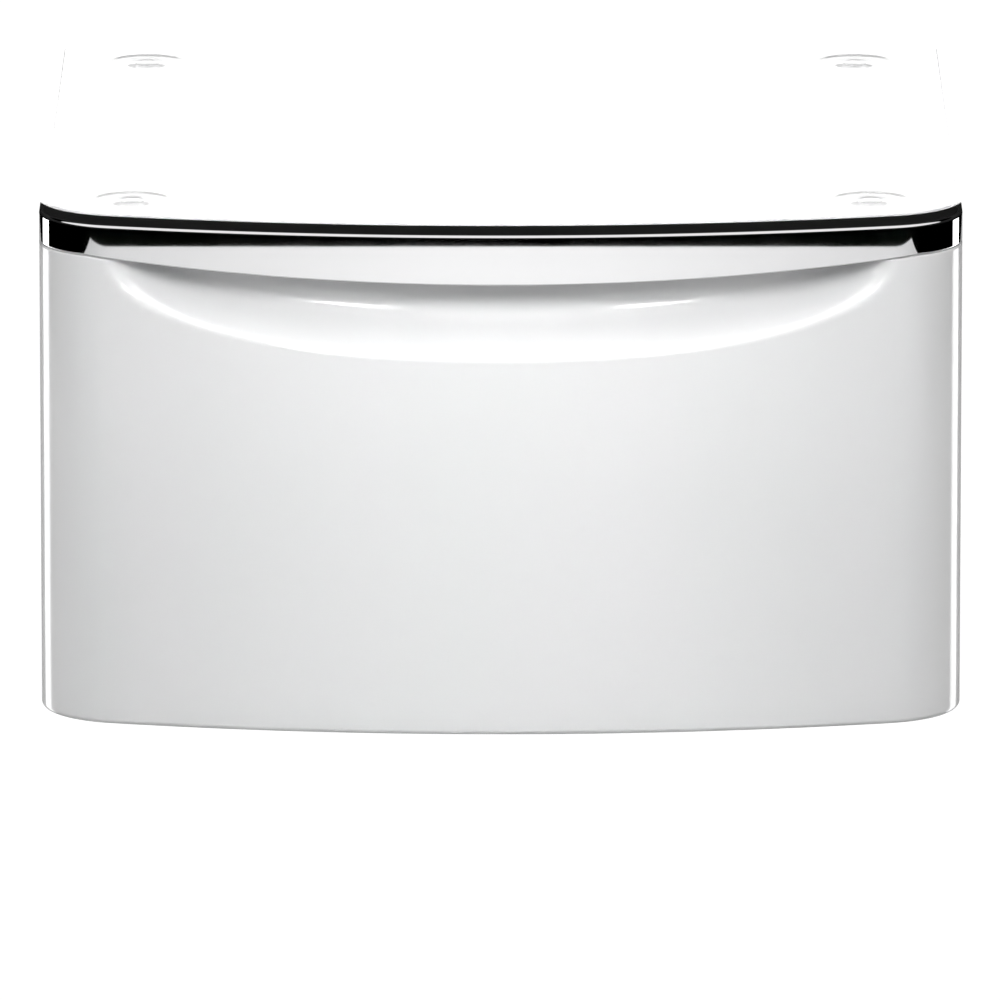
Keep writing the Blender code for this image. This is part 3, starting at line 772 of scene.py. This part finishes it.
def build_pad(node, body):
    low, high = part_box(node)
    middle = node_middle(node)
    base = (middle.x, middle.y, low.z)
    radius = (high.x - low.x) / 2
    profile = [(NEAR_AXIS, 0.0012), (0.006, 0.0012), (0.0065, 0.0), (0.0115, 0.0), (0.012, 0.0012),
               (0.0150, 0.0012), (0.0155, 0.0), (radius - 0.0005, 0.0), (radius, 0.0015),
               (radius, 0.0080), (0.0178, 0.0115), (0.0146, 0.0115), (0.0143, 0.0050), (NEAR_AXIS, 0.0050)]
    pad = grid_object(node + "_moulded", turned_rows(rounded(profile, 0.0008, 3), base, (0, 0, 1)),
                      body, ring=True)
    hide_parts(node)
    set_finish(pad, "black_rubber")
    return pad


stems, pads = [], []
for row in ("front", "rear"):
    for side, _ in SIDES:
        stems.append(build_stem(f"foot_stem_{row}_{side}", f"foot_{row}_{side}"))
        pads.append(build_pad(f"foot_pad_{row}_{side}", f"foot_{row}_{side}"))
print(len(stems), "stems with", len(stems[0].data.polygons), "faces each")

# %% [markdown]
# ## Screws
# A screw head is a low dome with a cross recess.  The recess could be cut with a Boolean, but on a
# grid as fine as this one it is enough to push down the points that lie in the arms of the cross.


# %% Screws
RECESS_HALF, RECESS_REACH, RECESS_DEPTH = 0.13, 0.60, 0.55
DOME_STEPS = 20


def in_recess(across, up):
    """Both are distances from the middle of the head, as parts of its radius."""
    return min(across, up) < RECESS_HALF and math.hypot(across, up) < RECESS_REACH


def build_screw(node, body, head_r, head_h):
    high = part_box(node)[1]
    middle = node_middle(node)
    face = Vector((middle.x, high.y - head_h, middle.z))
    shank_r = head_r * 0.5
    profile = [(NEAR_AXIS, -0.004), (shank_r, -0.004), (shank_r, 0.0), (head_r, 0.0)]
    shank_rows = len(profile)
    for step in range(DOME_STEPS + 1):
        reach = max(0.02, 1 - step / DOME_STEPS)
        profile.append((head_r * reach, head_h * (0.35 + 0.65 * math.sqrt(1 - reach**2))))
    rows = turned_rows(profile, face, (0, 1, 0), 72)
    for row in rows[shank_rows:]:
        for point in row:
            if in_recess(abs(point.x - face.x) / head_r, abs(point.z - face.z) / head_r):
                point.y -= head_h * RECESS_DEPTH
    screw = grid_object(node + "_head", rows, body, ring=True)
    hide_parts(node)
    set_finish(screw, "zinc_plate")
    return screw


screws = [build_screw("handle_screw_" + side, "drawer", 0.0038, 0.0016) for side, _ in SIDES]
for side, _ in SIDES:
    for level in ("lower", "upper"):
        screws.append(build_screw(f"rear_screw_{level}_{side}", "cabinet", 0.0042, 0.0015))
print(len(screws), "screws")

# %% [markdown]
# ## Ball slides
# A drawer slide is three rolled channels, with steel balls between them held by a cage.  Each
# channel is a section pushed along Y.  The flanges of the middle and inner members are rolled into
# shallow grooves for the balls, which is what tells a slide from a plain channel.  A section is
# given by u, the distance from the cabinet's mounting plate, and w, the height above its middle.

# %% Channels
slide_low, slide_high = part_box("slide_outer_right")
SLIDE_PLANE = slide_high.x
SLIDE_Z = (slide_low.z + slide_high.z) / 2
BEND_R = 0.0022


def channel_line(web, tip, half, groove):
    """(u, w) centre line of a channel: flange, rolled corner, web, rolled corner, flange."""
    inward = 1 if tip > web else -1
    upper = []
    for part in (0.0, 0.2, 0.4, 0.6, 0.8, 1.0):
        u = tip + (web + inward * BEND_R - tip) * part
        upper.append((u, half - groove * math.sin(math.pi * part)))
    for step in range(1, 6):
        turn = math.pi / 2 * step / 5
        upper.append((web + inward * BEND_R * (1 - math.sin(turn)), half - BEND_R * (1 - math.cos(turn))))
    lower = [(u, -w) for u, w in reversed(upper)]
    return upper + lower


def folded_strip(node, ending, body, line, sign, thickness):
    """The section pushed along Y through the node's whole length, then thickened."""
    low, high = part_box(node)
    rows = [[(sign * (SLIDE_PLANE - u), y, SLIDE_Z + w) for u, w in line]
            for y in steps_between(low.y, high.y, 2)]
    strip = grid_object(node + ending, rows, body, sharp=50)
    modifier(strip, "SOLIDIFY", thickness=thickness, offset=0)
    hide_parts(node)
    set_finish(strip, "galvanised_steel")
    return strip


members = []
for side, sign in SIDES:
    plans = [
        ("slide_outer_", "cabinet", channel_line(0.0006, 0.0110, 0.0224, 0.0)),
        ("slide_middle_", "slide_middle_" + side, channel_line(0.0036, 0.0108, 0.0176, 0.0004)),
        ("slide_inner_", "drawer", channel_line(0.0121, 0.0067, 0.0136, 0.0003)),
    ]
    for prefix, body, line in plans:
        members.append(folded_strip(prefix + side, "_rolled", body, line, sign, 0.0011))
print(len(members), "slide members")

# %% [markdown]
# The cages are folded like the channels.  Instances of one ball would be lighter, but a cage and
# its balls have to move as one piece each, so the balls of a cage are joined into one mesh.

# %% Cages with their balls
BALL_R = 0.0015
BALL_GAPS = 14
CAGE_END = 0.008


def add_ball(bm, centre, radius):
    made = bmesh.ops.create_icosphere(bm, subdivisions=2, radius=radius)
    bmesh.ops.translate(bm, vec=centre, verts=made["verts"])


def build_balls(node, body, sign, ball_u, ball_w):
    low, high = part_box(node)
    bm = bmesh.new()
    for y in steps_between(low.y + CAGE_END, high.y - CAGE_END, BALL_GAPS):
        for level in (-1, 1):
            add_ball(bm, (sign * (SLIDE_PLANE - ball_u), y, SLIDE_Z + level * ball_w), BALL_R)
    balls = mesh_object(node + "_balls", bm, body)
    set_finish(balls, "zinc_plate")
    return balls


cages, balls = [], []
for side, sign in SIDES:
    plans = [("ball_cage_outer_", channel_line(0.0020, 0.0093, 0.0202, 0.0), 0.0068, 0.0200),
             ("ball_cage_inner_", channel_line(0.0050, 0.0096, 0.0157, 0.0), 0.0085, 0.0156)]
    for prefix, line, ball_u, ball_w in plans:
        node = prefix + side
        cages.append(folded_strip(node, "_strip", node, line, sign, 0.0007))
        balls.append(build_balls(node, node, sign, ball_u, ball_w))
print(len(cages), "cages with", 2 * (BALL_GAPS + 1) * len(balls), "balls")

# %% [markdown]
# ## Guides for the divider
# The divider stands between two small channels on the drawer's sides, which hold it upright and
# let it lift straight out.


# %% Divider guides
GUIDE_GRIP = 0.005
GUIDE_FLANGE, GUIDE_OUTER, GUIDE_INNER = 0.0085, 0.0035, 0.0022
GUIDE_FLOOR, GUIDE_BACK = 0.0012, -0.0004
SIDE_HEM = 0.0138


def build_guide(side, sign):
    wall_low, wall_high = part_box(f"drawer_{side}_side")
    wall_x = min(abs(wall_low.x), abs(wall_high.x)) + SIDE_HEM
    divider_low, divider_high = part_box("drawer_divider")
    middle = node_middle("drawer_divider").y
    leg = wall_x - divider_high.x + GUIDE_GRIP
    front = [(GUIDE_BACK, -GUIDE_FLANGE), (0.0, -GUIDE_FLANGE), (0.0, -GUIDE_OUTER), (leg, -GUIDE_OUTER),
             (leg, -GUIDE_INNER), (GUIDE_FLOOR, -GUIDE_INNER)]
    section = front + [(u, -v) for u, v in reversed(front)]
    rows = [[(sign * (wall_x - u), middle + v, z) for u, v in section]
            for z in (divider_low.z + 0.004, divider_high.z - 0.010)]
    guide = grid_object("divider_guide_" + side, rows, "drawer", ring=True, caps=True, sharp=20)
    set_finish(guide, "grey_plastic")
    return guide


guides = [build_guide(side, sign) for side, sign in SIDES]
print(len(guides), "divider guides")

# %% [markdown]
# ## Finishes
# A shader is a sum, and it reads best when it is written as one.  Wire holds a node's output and
# turns +, - and * into Math nodes.  Shading adds every other node to a node tree.


# %% Shader writing
class Wire:
    """One output of a node, which sums can be written on."""

    def __init__(self, shading, socket):
        self.shading = shading
        self.socket = socket

    def maths(self, operation, first, second):
        return self.shading.node("ShaderNodeMath", {"operation": operation}, {0: first, 1: second})

    def __add__(self, other):
        return self.maths("ADD", self, other)

    def __radd__(self, other):
        return self.maths("ADD", other, self)

    def __sub__(self, other):
        return self.maths("SUBTRACT", self, other)

    def __rsub__(self, other):
        return self.maths("SUBTRACT", other, self)

    def __mul__(self, other):
        return self.maths("MULTIPLY", self, other)

    def __rmul__(self, other):
        return self.maths("MULTIPLY", other, self)


class Shading:
    """A node tree, with one method that adds any node."""

    def __init__(self, tree):
        self.tree = tree

    def feed(self, socket, value):
        if isinstance(value, Wire):
            self.tree.links.new(value.socket, socket)
        elif isinstance(value, tuple) and len(value) == 3 and len(socket.default_value) == 4:
            socket.default_value = (*value, 1.0)
        else:
            socket.default_value = value

    def node(self, kind, settings, inputs, output=0):
        made = self.tree.nodes.new(kind)
        for name, value in settings.items():
            setattr(made, name, value)
        for name, value in inputs.items():
            self.feed(made.inputs[name], value)
        return Wire(self, made.outputs[output])

    def mixed(self, factor, first, second):
        return self.node("ShaderNodeMixShader", {}, {0: factor, 1: first, 2: second})


print("shader helpers: Wire and Shading")

# %% [markdown]
# A finish is a tree with a Principled shader in it.  Whatever is the same all over a piece goes
# straight onto the shader's own sockets, and only what changes over the surface is wired in.


# %% Finishes of the pieces
class Finish(Shading):
    """A Principled material."""

    def __init__(self, name, **constants):
        self.material = bpy.data.materials.new(name)
        self.material.use_nodes = True
        super().__init__(self.material.node_tree)
        self.shader = self.tree.nodes["Principled BSDF"]
        for socket, value in constants.items():
            self.set(socket.replace("_", " "), value)
        self.place = self.node("ShaderNodeTexCoord", {}, {}, "Object")

    def set(self, socket, value):
        self.feed(self.shader.inputs[socket], value)

    def noise(self, scale, detail=2.0, roughness=0.5):
        inputs = {"Vector": self.place, "Scale": scale, "Detail": detail, "Roughness": roughness}
        return self.node("ShaderNodeTexNoise", {}, inputs, "Fac")

    def colour(self, mask, dark, light):
        settings = {"data_type": "RGBA", "clamp_factor": True}
        return self.node("ShaderNodeMix", settings, {0: mask, 6: dark, 7: light}, 2)

    def bump(self, height, distance):
        relief = {"Height": height, "Distance": distance}
        self.set("Normal", self.node("ShaderNodeBump", {}, relief, "Normal"))


print("each finish starts from a Principled shader")

# %% [markdown]
# ### White enamel
# Baked enamel is thick and glossy, and under its gloss it has a faint orange peel: the surface
# swells and dips by a few thousandths of a millimetre over two or three millimetres.


# %% White enamel
def white_enamel():
    finish = Finish("white_enamel_gloss", Coat_Weight=0.6, Coat_Roughness=0.03, IOR=1.5)
    haze = finish.noise(7.0, 3.0)
    grain = finish.noise(900.0, 1.0)
    finish.set("Base Color", finish.colour(haze, (0.845, 0.847, 0.850), (0.865, 0.866, 0.868)))
    finish.set("Roughness", 0.13 + haze * 0.05 + grain * 0.03)
    finish.bump(finish.noise(420.0, 2.0, 0.4), 0.00001)
    return finish.material


# %% [markdown]
# ### Chrome
# Plated chrome is a mirror.  What makes it look real is what it reflects, plus the faint smears
# of hands and cloths, which are only a change in roughness.


# %% Chrome plate
def chrome_plate():
    finish = Finish("chrome_plate_bright", Metallic=1.0)
    smear = finish.noise(18.0, 4.0, 0.6)
    finish.set("Base Color", finish.colour(smear, (0.90, 0.90, 0.91), (0.94, 0.94, 0.945)))
    finish.set("Roughness", 0.006 + smear * 0.014)
    finish.bump(finish.noise(40.0, 1.0), 0.0000008)
    return finish.material


# %% [markdown]
# ### Black moulding, rubber and plastics
# A moulding carries the fine grain of its tool.  The strip in the handle is the smoothest, the
# rubber feet are the dullest.


# %% Mouldings
def moulding(name, dark, light, rough, spread, grain_scale, grain_depth):
    finish = Finish(name)
    cloud = finish.noise(45.0, 4.0, 0.6)
    grain = finish.noise(grain_scale, 2.0)
    finish.set("Base Color", finish.colour(cloud, dark, light))
    finish.set("Roughness", rough + cloud * spread + grain * 0.05)
    finish.bump(grain, grain_depth)
    return finish.material


# %% [markdown]
# ### Steel
# Galvanised sheet shows spangles, flat crystals a centimetre across, each with its own tone.  A
# Voronoi texture gives exactly such cells.  Zinc plating is finer and brighter.


# %% Galvanised sheet and zinc plate
def galvanised_steel():
    finish = Finish("galvanised_sheet", Metallic=1.0)
    warp = finish.noise(60.0, 2.0)
    wobble = finish.node("ShaderNodeTexNoise", {}, {"Vector": finish.place, "Scale": 70.0}, "Color")
    moved = finish.node("ShaderNodeVectorMath", {"operation": "MULTIPLY_ADD"},
                        {0: wobble, 1: (0.006, 0.006, 0.006), 2: finish.place})
    cells = finish.node("ShaderNodeTexVoronoi", {"feature": "F1"}, {"Vector": moved, "Scale": 110.0}, "Color")
    tone = finish.node("ShaderNodeSeparateColor", {}, {0: cells}, 0)
    finish.set("Base Color", finish.colour(tone, (0.50, 0.52, 0.53), (0.72, 0.73, 0.74)))
    finish.set("Roughness", 0.30 + tone * 0.12 + warp * 0.08)
    finish.bump(tone, 0.00002)
    return finish.material


def zinc_plate():
    finish = Finish("zinc_plate_bright", Metallic=1.0)
    wear = finish.noise(260.0, 3.0)
    finish.set("Base Color", finish.colour(wear, (0.60, 0.60, 0.57), (0.78, 0.78, 0.76)))
    finish.set("Roughness", 0.22 + wear * 0.16)
    finish.bump(wear, 0.00001)
    return finish.material


# %% [markdown]
# ### One finish for each slot
# Every piece has a slot, which names what it is made of.  The model's own pieces have theirs in
# the model's record, so one loop can give each piece its finish.

# %% Give each piece its finish
STRIP_TONES = ((0.001, 0.001, 0.001), (0.005, 0.005, 0.005))
RUBBER_TONES = ((0.018, 0.018, 0.018), (0.035, 0.035, 0.034))
GREY_TONES = ((0.27, 0.28, 0.30), (0.33, 0.34, 0.36))
BLACK_TONES = ((0.02, 0.02, 0.02), (0.04, 0.04, 0.04))
BY_SLOT = {
    "white_enamel": white_enamel(),
    "chrome_plate": chrome_plate(),
    "black_inlay": moulding("black_strip", *STRIP_TONES, 0.30, 0.12, 2200.0, 0.00003),
    "galvanised_steel": galvanised_steel(),
    "zinc_plate": zinc_plate(),
    "black_rubber": moulding("black_rubber_dull", *RUBBER_TONES, 0.70, 0.15, 1500.0, 0.00008),
    "grey_plastic": moulding("grey_moulding", *GREY_TONES, 0.42, 0.10, 1300.0, 0.00005),
    "black_plastic": moulding("black_moulding", *BLACK_TONES, 0.38, 0.10, 1500.0, 0.00004),
}
slot_of = {row["node"]: row["material_slot"] for row in frame["record"]["subparts"]}
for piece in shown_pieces():
    slot = piece.get("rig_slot") or slot_of[piece["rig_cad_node"]]
    piece.data.materials.clear()
    piece.data.materials.append(BY_SLOT[slot])

# %% [markdown]
# ## The studio
# A glossy object is lit by what stands round it.  The floor looks white all over, but mirrors see
# only the part near the pedestal and a part in front of it.  Where that part ends the chrome
# turns black.  One white plane would be simpler, but it would leave no black line.

# %% Floor meshes
FLOOR_Z = -0.0004
FLOOR_MIDDLE = Vector((0.0, 0.2126, FLOOR_Z))
WHITE_R = 2.4625
FAR_R = 60.0


def stage_mesh(name, rows):
    bm = bmesh.new()
    add_grid(bm, rows)
    bmesh.ops.remove_doubles(bm, verts=bm.verts, dist=0.00001)
    mesh = bpy.data.meshes.new(name)
    bm.to_mesh(mesh)
    bm.free()
    made = bpy.data.objects.new(name, mesh)
    bpy.context.scene.collection.objects.link(made)
    return made


print("the floor that mirrors see in front ends at", WHITE_R, "m")

# %% [markdown]
# The paper glows for the camera, so that it is an even white.  Under the cabinet that would leave
# the pedestal floating, so there the glow fades out over a soft band set by position on the floor,
# and the paper's real shadow shows through: a real shadow with a painted soft edge.

# %% White paper
SHADE_MIDDLE_Y = 0.0625
SHADE_HALF = (0.325, 0.290)
SHADE_SOFT = 0.14


# Painted shade: this mask, set by floor position, decides where the glow gives way to the real shadow, so it
# paints that shadow's soft edge.
def outside_footprint(paper):
    """0 under the middle of the cabinet, rising softly to 1 at the edge of its footprint."""
    across = paper.node("ShaderNodeSeparateXYZ", {}, {0: paper.place}, "X")
    along = paper.node("ShaderNodeSeparateXYZ", {}, {0: paper.place}, "Y")
    side = across.maths("ABSOLUTE", across, 0.0) - SHADE_HALF[0]
    end = along.maths("ABSOLUTE", along - SHADE_MIDDLE_Y, 0.0) - SHADE_HALF[1]
    nearest = side.maths("MAXIMUM", side, end)
    ends = {"Value": nearest, "From Min": -SHADE_SOFT, "From Max": 0.0}
    return paper.node("ShaderNodeMapRange", {"interpolation_type": "SMOOTHSTEP"}, ends)


GLOW = 1.05


def white_paper(name, tone, shaded):
    """Matt paper that the camera sees fully lit, except in the shaded footprint."""
    paper = Finish(name, Base_Color=(tone, tone, tone), Roughness=0.95, Specular_IOR_Level=0.0)
    fully_lit = paper.node("ShaderNodeLightPath", {}, {}, "Is Camera Ray")
    if shaded:
        # Painted shade: the glow fades by position here, which paints the soft edge of the shadow under the
        # cabinet.
        fully_lit = fully_lit * outside_footprint(paper)
    glow = paper.node("ShaderNodeEmission", {}, {"Strength": GLOW}, "Emission")
    seen = paper.mixed(fully_lit, Wire(paper, paper.shader.outputs["BSDF"]), glow)
    paper.feed(paper.tree.nodes["Material Output"].inputs["Surface"], seen)
    return paper.material


print("the shade under the cabinet is", SHADE_SOFT, "m soft")

# %% [markdown]
# Each part of the floor is a grid between circles.  The front part narrows towards its outer
# circle, which sets how far round the handle's ends the white band reaches.

# %% Floor
FLOOR_STEPS = 160


def floor_part(name, limits, tone, z=FLOOR_Z, shaded=False):
    """Floor between circles.  Limits are (radius, degrees it reaches each way from straight ahead)."""
    rows = []
    for radius, limit in limits:
        turns = [math.radians(turn) for turn in steps_between(-limit, limit, FLOOR_STEPS)]
        rows.append([(FLOOR_MIDDLE.x + radius * math.sin(turn), FLOOR_MIDDLE.y - radius * math.cos(turn), z)
                     for turn in turns])
    floor = stage_mesh(name, rows)
    floor.data.materials.append(white_paper(name + "_paper", tone, shaded))
    return floor


NEAR_R = 1.60
FRONT_LIMITS = ((NEAR_R, 62), (2.0, 61), (2.2, 59), (2.35, 54), (WHITE_R, 46))
floor_parts = [
    floor_part("near_floor", ((0.0, 180), (NEAR_R, 180)), 0.50, shaded=True),
    floor_part("front_floor", FRONT_LIMITS, 0.90),
    floor_part("far_floor", ((NEAR_R, 180), (FAR_R, 180)), 0.90, z=2 * FLOOR_Z),
]
floor_parts[-1].visible_glossy = False
print(len(floor_parts), "parts of floor")

# %% [markdown]
# A rounded corner shows a bright upright line where it mirrors something bright beside it.  Here
# that is a glowing wedge on the floor on each side.  Light linking lets a lamp or a glowing mesh
# light chosen pieces only, so the wedges show in the front's corners and nowhere else.

# %% Corner cards
CARD_GLOW = 3.0
CARD_NORMALS = (63.0, 72.5)
CARD_REACHES = (0.02, 0.10, 0.25, 0.5, 1.0, 1.5, 2.2)


def lit_only(name, pieces):
    """A collection for light linking: a card or lamp that has it lights these pieces only."""
    chosen = bpy.data.collections.new(name)
    for piece in pieces:
        chosen.objects.link(piece)
    return chosen


def glowing_card(name, rows, strength, receivers):
    """A sheet of light that only mirrors see, and only in the receivers."""
    card = stage_mesh(name, rows)
    card.visible_camera = card.visible_diffuse = card.visible_shadow = False
    card.light_linking.receiver_collection = receivers
    glow = Finish(name + "_glow", Base_Color=(0.0, 0.0, 0.0), Emission_Color=(1.0, 1.0, 1.0),
                  Emission_Strength=strength)
    card.data.materials.append(glow.material)
    return card


def card_point(sign, turn, reach):
    """Where a level mirror at this turn on the corner looks, at this distance from it."""
    x = CORNER_X + CORNER_R * math.sin(turn) + reach * math.sin(2 * turn)
    y = CORNER_Y - CORNER_R * math.cos(turn) - reach * math.cos(2 * turn)
    return (sign * x, y, FLOOR_Z / 2)


front_pieces = lit_only("lit_by_corner_cards", (drawer_front, handle_bar))
card_turns = [math.radians(turn) for turn in steps_between(*CARD_NORMALS, 8)]
for side, sign in SIDES:
    card_rows = [[card_point(sign, turn, reach) for turn in card_turns] for reach in CARD_REACHES]
    glowing_card("corner_card_" + side, card_rows, CARD_GLOW, front_pieces)
print("corner cards for normals", CARD_NORMALS)

# %% [markdown]
# Enamel mirrors strongly at a shallow angle.  A white ring far round the pedestal lies in the
# deck's reflection from any low view, and lifts it to the white of the backdrop there only.

# %% Ring that the deck mirrors
RING_R = 4.0
RING_Z = (0.1, 2.6)
RING_GLOW = 1.8
RING_STEPS = 96
ring_turns = [math.tau * step / RING_STEPS for step in range(RING_STEPS + 1)]
ring_rows = [[(RING_R * math.cos(turn), RING_R * math.sin(turn), z) for turn in ring_turns] for z in RING_Z]
glowing_card("deck_ring", ring_rows, RING_GLOW, lit_only("lit_by_deck_ring", (deck, *plugs)))
print("the deck's ring is", 2 * RING_R, "m across")

# %% [markdown]
# ## Lamps
# Large area lamps give the soft shading of the face.  None of them shows in the enamel except the
# two wide ones for the dish's rim and the two small ones for its ends, which light nothing else.

# %% Lights
def softbox(name, place, aim, size, watts, spread=180, receivers=None):
    """An area lamp.  With receivers it gives only highlights, and only on them."""
    data = bpy.data.lights.new(name, "AREA")
    data.shape = "RECTANGLE"
    data.size, data.size_y = size
    data.energy = watts
    data.spread = math.radians(spread)
    light = bpy.data.objects.new(name, data)
    light.location = place
    light.rotation_euler = (Vector(aim) - Vector(place)).to_track_quat("-Z", "Y").to_euler()
    light.visible_camera = False
    light.visible_glossy = receivers is not None
    light.visible_diffuse = receivers is None
    if receivers:
        light.light_linking.receiver_collection = receivers
    bpy.context.scene.collection.objects.link(light)
    return light


DISH_MIDDLE = (0.0, -0.35, 0.33)
CABINET_MIDDLE = (0.0, 0.1, 0.2)
enamel_front = lit_only("lit_by_rim_lights", (drawer_front,))
softbox("high_key", (0.0, -1.75, 1.25), (0.0, -0.37, 0.27), (0.4, 0.7), 2.15, 52)
softbox("rim_glow", (0.0, -2.40, 1.10), DISH_MIDDLE, (3.2, 0.6), 5, receivers=enamel_front)
softbox("rim_upper", (0.0, -1.20, 2.10), DISH_MIDDLE, (3.2, 0.8), 26, receivers=enamel_front)
for side, sign, watts in (("left", -1, 3.2), ("right", 1, 5)):
    softbox(side + "_sparkle", (sign * 0.195, -0.745, 0.605), (sign * 0.275, -0.33, 0.34), (0.08, 0.08), 0.3,
            receivers=enamel_front)
    softbox(side + "_front", (sign * 2.0, -1.6, 1.0), (sign * 0.3, -0.3, 0.2), (0.8, 0.8), watts)
softbox("overhead", (0.0, -1.0, 2.2), (0.0, -0.6, 0.2), (2.4, 0.8), 14)
softbox("floor_pool", (0.0, -2.1, 1.6), (0.0, -2.1, 0.0), (0.6, 0.6), 1.5, 100)
softbox("floor_wash", (0.0, -2.3, 1.4), (0.0, -2.3, 0.0), (3.2, 0.8), 9.6, 110)
softbox("left_side", (-2.4, 0.6, 1.2), CABINET_MIDDLE, (1.2, 1.0), 23)
softbox("right_side", (2.4, 0.6, 1.2), CABINET_MIDDLE, (1.2, 1.0), 16)
softbox("behind", (0.0, 2.6, 1.3), (0.0, 0.3, 0.2), (1.4, 1.0), 24)

# %% [markdown]
# Mirrors see a white canopy above and in front, and black below it.  That black is what gives
# chrome its dark lines.  The camera sees white, and everything else sees a weak even light.

# %% World
world = bpy.data.worlds.new("studio")
bpy.context.scene.world = world
world.use_nodes = True
studio = Shading(world.node_tree)
CANOPY_FRONT, CANOPY_REAR = 0.20, 0.72
CANOPY_SOFT = 0.06
CANOPY_GLOW, AMBIENT = 0.9, 0.09


def in_range(value, source, target):
    names = ("Value", "From Min", "From Max", "To Min", "To Max")
    return studio.node("ShaderNodeMapRange", {}, dict(zip(names, (value, *source, *target))))


def canopy():
    """1 for directions that reach the canopy, which comes down low in front but not behind."""
    direction = studio.node("ShaderNodeTexCoord", {}, {}, "Generated")
    along, up = [studio.node("ShaderNodeSeparateXYZ", {}, {0: direction}, axis) for axis in "YZ"]
    lowest = in_range(along, (0.0, 0.5), (CANOPY_FRONT, CANOPY_REAR))
    return in_range(up - lowest, (0.0, CANOPY_SOFT), (0.0, 1.0))


def backdrop(brightness):
    return studio.node("ShaderNodeBackground", {}, {"Color": (brightness, brightness, brightness)})


def rays(kind):
    return studio.node("ShaderNodeLightPath", {}, {}, kind)


for_mirrors = studio.mixed(canopy(), backdrop(0.0), backdrop(CANOPY_GLOW))
for_objects = studio.mixed(rays("Is Glossy Ray"), backdrop(AMBIENT), for_mirrors)
for_all = studio.mixed(rays("Is Camera Ray"), for_objects, backdrop(GLOW))
studio.feed(studio.tree.nodes["World Output"].inputs["Surface"], for_all)
print("world:", len(studio.tree.nodes), "nodes")

# %% [markdown]
# ## The camera
# A long lens far away keeps the pedestal's sides parallel, and a height of about twelve degrees
# above level lets the handle's top show as a thin crescent.

# %% Camera
CAMERA_AWAY = 12.0
CAMERA_ABOVE = math.radians(12.5)
VIEW_WIDTH = 0.7393
FAR_CLIP = 100.0
aim = Vector((-0.0006, APEX_Y, 0.1948))
camera_data = bpy.data.cameras.new("camera")
camera_data.sensor_width = 36.0
camera_data.lens = camera_data.sensor_width * CAMERA_AWAY / VIEW_WIDTH
camera_data.clip_end = FAR_CLIP
camera = bpy.data.objects.new("camera", camera_data)
back = Vector((0.0, -math.cos(CAMERA_ABOVE), math.sin(CAMERA_ABOVE)))
camera.location = aim + back * CAMERA_AWAY
camera.rotation_euler = (-back).to_track_quat("-Z", "Y").to_euler()
bpy.context.scene.collection.objects.link(camera)
bpy.context.scene.camera = camera
bpy.context.scene.view_settings.view_transform = "Standard"
bpy.context.scene.view_settings.look = "None"
print("lens, mm:", round(camera_data.lens))
